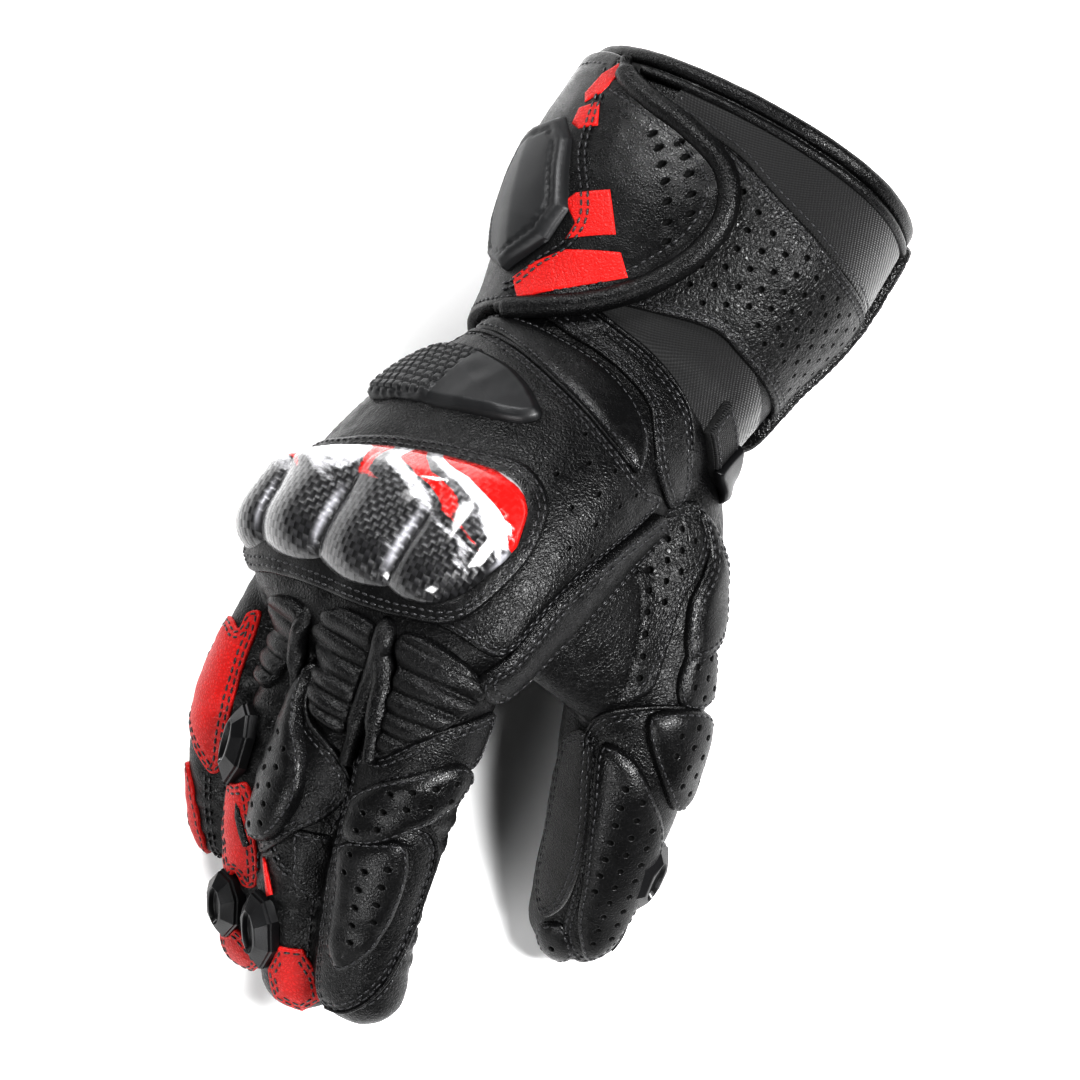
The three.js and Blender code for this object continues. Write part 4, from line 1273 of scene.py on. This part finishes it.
def build_guard():
    limb = limbs["hand"]
    across, along = GUARD_GRID
    u, v = np.meshgrid(np.linspace(0, 1, across), np.linspace(0, 1, along))
    degrees = GUARD_FROM + v * GUARD_OVER
    low, high = between(GUARD, 1, degrees), between(GUARD, 2, degrees)
    scallop = np.abs(np.sin(np.pi * LOBES * v)) ** 0.8 - 0.6
    high = high + 2.2 * scallop * np.clip(np.minimum(v, 1 - v) * 12, 0, 1)
    s = low + (high - low) * u
    ways = limb.outward(s.ravel(), degrees.ravel())
    foot = limb.surface(s.ravel(), degrees.ravel())
    height = GUARD_FOOT + guard_height(u, v).ravel()
    points = np.vstack([foot + ways * height[:, None], foot - ways * 0.8])
    n = across * along
    faces = []
    for r in range(along - 1):
        for i in range(across - 1):
            a = r * across + i
            faces.append((a, a + 1, a + across + 1, a + across))
            faces.append((n + a, n + a + across, n + a + across + 1, n + a + 1))
    grid = np.arange(n).reshape(along, across)
    ring = np.concatenate([grid[0], grid[1:, -1], grid[-1, -2::-1], grid[-2:0:-1, 0]]).tolist()
    for a, b in zip(ring, ring[1:] + ring[:1]):
        faces.append((a, a + n, b + n, b))
    far = np.full(n, FAR_FROM_EDGE)
    lay_over = np.column_stack([(s - 90).ravel(), (degrees.ravel() - 98) * 0.8, far])
    near = np.clip(1.15 - u * 2.3, 0, 1) + 0.7 * np.clip(1 - v * 2.8, 0, 1) * np.clip(1.5 - u * 1.5, 0, 1)
    # Where the reflection is painted: a narrow streak down each lobe, stored in the mark's third part.
    beside = (v * LOBES + 0.09) % 1
    painted_reflection = np.exp(-(((beside - 0.16) / 0.035) ** 2))
    painted_reflection = painted_reflection * np.clip((u - 0.42) * 6, 0, 1) * np.clip((0.93 - u) * 9, 0, 1)
    mark = np.tile(np.stack([near.ravel(), 0 * near.ravel(), painted_reflection.ravel()], 1), (2, 1))
    shell = Piece()
    shell.add(points, faces, np.vstack([lay_over, lay_over]), mark=mark)
    shell.finish("knuckle_guard", "carbon", ["carbon"], ["knuckle_guard"])
    panel("guard_rim", "hand", strip_outline(GUARD_RIM), thick=2.0, lift=0.9, edge=1.6, rows=(1.4, 3.0),
          finish="satin")


def build_hand():
    panel("wrist_panel", "hand", WRIST_PANEL, thick=1.5, rows=(1.2, 2.9), slack=0.2)
    panel("wrist_leaf", "hand", LEAF, thick=2.2, rows=(1.2,), finish="satin", crown=0.8, crown_width=4)
    pricks = holes_at("hand", SADDLE, SADDLE_HOLES, 0.75, 0.75)
    panel("hand_saddle", "hand", SADDLE, thick=1.3, rows=(1.3, 2.8), finish="soft", hole_list=pricks,
          grid=1.7, slack=0.3)
    panel("back_plate", "hand", BACK_PLATE, thick=2.9, lift=0.9, finish="rubber", slot="moulded_rubber",
          grid=0.5, relief=brick_relief, edge=0.6)
    panel("wrist_strap", "hand", STRAP, thick=2.0, lift=1.4, finish="webbing", slot="webbing", grid=1.6,
          corners=True, rows=(1.6,))
    panel("strap_tab", "hand", TAB, thick=1.8, lift=3.3, finish="slider", slot="moulded_rubber", grid=1.2,
          corners=True, under=2.4)
    build_guard()
    panel("radial_strip", "hand", STRIP, thick=2.2, lift=0.9, rows=(1.5, 3.2), slack=0.35, crown=0.6)
    for name, outline in PALM_PATCHES.items():
        panel(name, "hand", outline, thick=1.4, rows=(1.6,), finish="suede", slot="suede", grid=2.0)


# The fingers and the thumb. Each row is a panel: its name, limb, thickness, finish and slot, what is
# pricked or raised in it, and its outline of station and degrees.
PRICKED = dict(spacing=4.9, inset=3.2, size=0.72)
PAD = dict(crown=1.8, crown_width=6.0, holes=PRICKED, edge=1.2, rows=(1.2,), finish="padded",
           slot="perforated_leather", padded=0.6)
DASH = dict(thick=0.3, lift=1.35, corners=True, edge=0.2, grid=0.8, under=1.0, finish="smooth")
RED = dict(thick=1.4, rows=(1.2, 2.7), finish="red", slot="red_leather", edge=0.8)
FINGER_PANELS = [
    ("ribs_index", "index", dict(thick=1.2, relief=ribs(5, 21, 47, 2.4), grid=0.7, padded=0.5), [
        (21, 20), (25, 10), (33, 27), (42, 57), (50, 96), (44, 99), (30, 104), (20, 106)]),
    ("ribs_middle", "middle", dict(thick=1.2, relief=ribs(6, 23, 51, 2.4), grid=0.7, padded=0.5), [
        (22, 66), (26, 58), (36, 54), (49, 50), (50, 78), (48, 104), (40, 126), (30, 136), (24, 130)]),
    ("middle_panel", "middle", dict(thick=1.6, rows=(1.2, 2.6)), [
        (28, 142), (38, 136), (46, 122), (51, 98), (53, 71), (56, 45), (60, 26), (66, 24), (72, 34), (79, 66),
        (86, 98), (90, 130), (86, 150), (60, 162), (40, 152)]),
    ("middle_window", "middle", dict(thick=1.7, rows=(1.1,), finish="smooth", grid=1.0), [
        (79, 69), (85, 66), (94, 61), (96, 40), (96, 17), (88, 18), (78, 20), (78, 45)]),
    ("ribs_ring", "ring", dict(thick=1.2, relief=ribs(5, 26, 50, 2.2), grid=0.7, padded=0.5), [
        (26, 74), (34, 70), (41, 78), (49, 95), (50, 112), (46, 134), (36, 140), (28, 134)]),
    ("index_band", "index", dict(thick=1.8, rows=(1.2, 2.7), finish="smooth"), [
        (50, 122), (48, 90), (40, 57), (33, 22), (28, -30), (42, -36), (47, 6), (52, 50), (62, 96),
        (64, 118)]),
    ("index_panel", "index", dict(thick=1.3, rows=(1.2, 2.6)), [
        (58, 118), (62, 60), (63, 14), (70, -8), (84, -12), (96, -2), (110, 26), (119, 66), (121, 108),
        (90, 116)]),
    ("index_pad_near", "index", dict(PAD, thick=2.4, lift=0.9), [
        (72, 95), (62, 103), (49, 52), (43, 10), (46, -12), (55, 2), (64, 36), (71, 68)]),
    ("index_pad_far", "index", dict(PAD, thick=2.4, lift=0.9), [
        (74, 97), (69, 66), (67, 38), (74, 25), (88, 27), (100, 45), (106, 72), (102, 88), (86, 88)]),
    ("middle_pad", "middle", dict(PAD, thick=3.6, crown=2.8), [
        (38, 136), (44, 126), (52, 104), (60, 78), (69, 68), (77, 76), (84, 98), (86, 132), (78, 154),
        (62, 164), (46, 152)]),
    ("middle_tip", "middle", dict(RED, corners=True), [
        (112, 84), (112, 52), (120, 36), (128, 30), (133, 60), (129, 104), (120, 108)]),
    ("ring_overlay", "ring", RED, [
        (72, 148), (76, 132), (77, 110), (75, 86), (80, 70), (89, 62), (103, 58), (104, 76), (101, 92),
        (105, 106), (97, 122), (86, 138), (79, 148)]),
    ("ring_dash", "ring", DASH, [(81, 96), (82, 88), (91, 68), (92, 76), (85, 94)]),
    ("middle_dash", "middle", dict(DASH, finish="red", slot="red_leather", lift=0.0), [
        (90, 116), (91, 108), (98, 90), (99, 98)]),
    ("ring_tip", "ring", RED, [(119, 120), (118, 84), (127, 48), (133, 78), (131, 122)]),
    ("little_overlay", "little", RED, [
        (43, 144), (42, 114), (43, 92), (38, 90), (36, 74), (41, 65), (48, 61), (62, 54), (71, 54), (79, 58),
        (81, 72), (77, 96), (74, 116), (70, 144), (64, 156), (54, 154)]),
    ("little_trim", "little", dict(RED, rows=(1.0,)), [
        (82, 128), (90, 108), (107, 106), (110, 132), (98, 140), (84, 144)]),
]
THUMB_PANELS = [
    ("thumb_base_panel", dict(thick=1.5, rows=(1.4, 3.0), finish="pebble", slot="perforated_leather",
                              holes=dict(spacing=5.4, inset=4.6, size=0.74)), [
        (23, 178), (21, 150), (26, 138), (34, 140), (46, 161), (58, 170), (69, 180), (73, 206), (68, 232),
        (60, 262), (47, 232), (34, 208)]),
    ("thumb_heel_pad", dict(thick=2.0, rows=(1.3, 2.9), crown=1.2, finish="satin", padded=0.6), [
        (23, 150), (29, 124), (38, 108), (52, 106), (58, 124), (61, 150), (48, 157), (34, 140)]),
    ("thumb_outer_pad", dict(PAD, thick=1.8, crown=1.0), [
        (56, 146), (58, 118), (69, 110), (72, 150), (66, 158)]),
    ("thumb_panel", dict(thick=1.3, rows=(1.2, 2.6)), [
        (76, 206), (73, 180), (72, 140), (76, 104), (92, 86), (112, 82), (134, 88), (148, 118), (151, 165),
        (143, 198), (120, 202), (98, 211), (84, 224)]),
    ("thumb_bulge_pad", dict(PAD, thick=2.0, lift=0.9, crown=2.2), [
        (75, 178), (73, 120), (85, 102), (96, 104), (99, 124), (89, 158)]),
    ("thumb_long_pad", dict(PAD, thick=2.0, lift=0.9, crown=1.6), [
        (84, 206), (86, 182), (95, 155), (106, 132), (122, 126), (140, 138), (147, 162), (138, 186),
        (120, 196), (102, 204)]),
    ("thumb_grip", dict(thick=1.3, rows=(1.3, 2.8), finish="suede", slot="suede"), [
        (88, 252), (83, 220), (97, 209), (116, 200), (134, 208), (140, 228), (133, 250), (110, 254)]),
    ("thumb_tip_pad", dict(PAD, thick=1.3, crown=0.6), [
        (144, 232), (139, 204), (149, 178), (155, 200), (154, 226)]),
]
# Rolls of leather: a name, a limb, the roll's path, its radius and how high its middle lies.
WELTS = [
    ("welt_near", "middle", [(18, 62), (24, 54), (38, 45), (56, 38)], 3.2, 2.9),
    ("welt_far", "index", [(16, 128), (22, 120), (36, 108), (51, 96)], 3.1, 2.8),
    ("welt_side", "ring", [(19, 73), (28, 71), (35, 72), (42, 62), (47, 52)], 2.7, 2.4),
    ("index_edge", "index", [
        (60, 108), (62, 60), (63, 14), (70, -8), (84, -12), (96, -2), (110, 26), (119, 66), (121, 102)],
        0.8, 1.1),
    ("band_edge", "index", [(50, 120), (48, 90), (40, 57), (33, 22)], 0.8, 1.7),
    ("middle_edge", "middle", [(39, 134), (46, 122), (51, 98), (53, 71), (56, 45), (60, 27)], 0.8, 1.5),
    ("thumb_edge", "thumb", [
        (83, 222), (76, 206), (73, 180), (72, 140), (76, 104), (92, 86), (112, 82), (134, 88), (147, 117)],
        0.8, 1.1),
    ("saddle_edge", "hand", [(26, 138), (31, 100), (37, 68), (41, 44), (42, 28)], 0.8, 1.2),
    ("wrist_edge", "hand", [(8, 138), (10, 100), (11, 72), (12, 50), (14, 26), (19, 6)], 0.8, 1.3),
]
# Hard buttons: a name, a limb, the button's station and degrees, and its length and width.
SLIDERS = [
    ("middle_slider", "middle", (109, 112), (21, 13)), ("ring_slider_near", "ring", (67, 118), (22, 13)),
    ("ring_slider_far", "ring", (111, 106), (19, 13)), ("thumb_slider", "thumb", (119, 128), (22, 15)),
]
# Stitched lines over the fingers and the thumb between their panels.
SEAMS = [
    ("index", [(122, 112), (118, 62), (111, 22), (96, -14)]),
    ("middle", [(84, 110), (90, 80), (90, 48), (84, 20)]),
    ("middle", [(60, 20), (74, 26), (90, 30), (108, 40), (122, 50)]),
    ("ring", [(54, 60), (70, 62), (84, 56), (104, 50), (122, 52)]),
    ("little", [(82, 80), (96, 84), (110, 86), (122, 90)]),
    ("thumb", [(74, 118), (72, 150), (74, 180), (80, 205), (84, 228)]),
]


SLIDER_SHAPE = [
    (-1.0, -0.25), (-0.86, 0.55), (-0.35, 1.0), (0.45, 0.92), (1.08, 0.05), (0.55, -0.9), (-0.5, -0.98),
]
# The rings of a slider from its foot to the floor of the sunk eye: share of its size, share of the way from
# the hexagon to the eye, and height.
SLIDER_RINGS = [
    (1.05, 0, -1.5), (1.05, 0, 0.9), (1.0, 0, 1.3), (1.0, 0, 2.1), (0.94, 0, 2.5), (0.62, 0.15, 4.7),
    (0.58, 0.3, 4.85), (0.50, 0.8, 4.9), (0.47, 1, 4.8), (0.40, 1, 3.6), (0.34, 1, 3.4),
]
SLIDER_SAMPLES = 6
EYE = (1.25, 0.8)
EYE_HEIGHT = 3.3


def slider(name, on, place, size):
    """A hard pointed button of flat facets with a sunk eye in its top."""
    limb = limbs[on]
    station, degrees = place
    points, out, shift = seated(limb, np.array([station]), np.array([degrees], float))
    middle = points[0] + out[0] * (max(shift[0], -0.5) + 0.6)
    ahead = unit(limb.surface(station + 2, degrees) - limb.surface(station - 2, degrees))
    side = np.cross(out[0], ahead)
    corners = np.array(SLIDER_SHAPE)
    share = (np.arange(SLIDER_SAMPLES) / SLIDER_SAMPLES)[:, None]
    hexagon = np.vstack([a + (b - a) * share for a, b in zip(corners, np.roll(corners, -1, 0))])
    count = len(hexagon)
    angle = np.arctan2(hexagon[:, 1], hexagon[:, 0])
    eye = np.stack([EYE[0] * np.cos(angle), EYE[1] * np.sin(angle)], 1)
    rings = []
    for grow, roundness, height in SLIDER_RINGS:
        shape = (hexagon * (1 - roundness) + eye * roundness) * grow
        flat = ahead * (shape[:, :1] * size[0] / 2) + side * (shape[:, 1:] * size[1] / 2)
        rings.append(middle + flat + out[0] * height)
    points = np.vstack([*rings, middle + out[0] * EYE_HEIGHT])
    faces = ring_faces(len(SLIDER_RINGS), count)
    top = (len(SLIDER_RINGS) - 1) * count
    faces += [(top + i, top + (i + 1) % count, len(points) - 1) for i in range(count)]
    faces.append(tuple(range(count - 1, -1, -1)))
    button = Piece()
    button.add(points, faces)
    button.finish(name, "moulded_rubber", ["slider"], [name], flat=True)


def build_fingers():
    for name, on, how, outline in FINGER_PANELS:
        panel(name, on, outline, **how)
    for name, how, outline in THUMB_PANELS:
        panel(name, "thumb", outline, **how)
    for name, on, path, radius, lift in WELTS:
        points, out = path_on(on, path, lift)
        share = np.linspace(0, 1, len(points))
        ends = np.sqrt(np.clip(share / 0.10, 0.05, 1)) * np.clip((1 - share) / 0.3, 0.65, 1)
        roll(name, points, radius * ends, 16, out)
    for entry in SLIDERS:
        slider(*entry)
    for on, path in SEAMS:
        seam(on, path, 0.15, (-0.5, 0.5))


build_cuff()
build_hand()
build_fingers()
seams.finish("stitches", "leather", ["thread"])


FLOOR = [(-3, -3, 0), (3, -3, 0), (3, 3, 0), (-3, 3, 0)]
WORLD_LIGHT = 0.10
# Each softbox's place, size and power.
LIGHTS = [((0.50, 0.30, 1.15), 0.42, 22), ((-0.85, 0.25, 0.75), 0.35, 8), ((0.1, -0.95, 0.75), 0.35, 6)]
CAMERA_RIGHT = (0.72, 0.66, -0.234)
CAMERA_UP = (-0.306, 0.60, 0.733)
CAMERA_AWAY = 1000
HAND_IN_PHOTO = (597, 412)
PHOTO = 1080
LENS = 115
SENSOR = 36
PRINT = dict(view_transform="Standard", gamma=0.66, exposure=0.85)


def build_studio():
    floor = object_from("floor", FLOOR, [(0, 1, 2, 3)])
    pale = Finish("pale_floor", Base_Color=(0.93, 0.93, 0.93, 1), Roughness=0.9)
    floor.data.materials.append(pale.material)
    world = bpy.data.worlds.new("studio")
    bpy.context.scene.world = world
    world.use_nodes = True
    world.node_tree.nodes["Background"].inputs["Color"].default_value = (1, 1, 1, 1)
    world.node_tree.nodes["Background"].inputs["Strength"].default_value = WORLD_LIGHT
    for spot, size, power in LIGHTS:
        light = bpy.data.lights.new("softbox", "AREA")
        light.shape, light.size, light.energy = "SQUARE", size, power
        lamp = bpy.data.objects.new("softbox", light)
        bpy.context.scene.collection.objects.link(lamp)
        lamp.location = spot
        lamp.rotation_euler = (-Vector(spot)).to_track_quat("-Z", "Y").to_euler()


def build_camera():
    right = Vector(CAMERA_RIGHT).normalized()
    back = right.cross(Vector(CAMERA_UP)).normalized()
    up = back.cross(right)
    pixels = LENS / SENSOR * PHOTO
    turn = right * (PHOTO / 2 - HAND_IN_PHOTO[0]) / pixels + up * (HAND_IN_PHOTO[1] - PHOTO / 2) / pixels
    z = -Vector(LAID @ np.array((turn - back).normalized()))
    x = Vector(LAID @ np.array(up)).cross(z).normalized()
    y = z.cross(x)
    data = bpy.data.cameras.new("camera")
    data.lens, data.sensor_width = LENS, SENSOR
    camera = bpy.data.objects.new("camera", data)
    bpy.context.scene.collection.objects.link(camera)
    place = Vector(lay(np.array(back * CAMERA_AWAY)))
    camera.matrix_world = Matrix.Translation(place) @ Matrix((x, y, z)).transposed().to_4x4()
    bpy.context.scene.camera = camera


build_studio()
build_camera()
for setting, value in PRINT.items():
    setattr(bpy.context.scene.view_settings, setting, value)
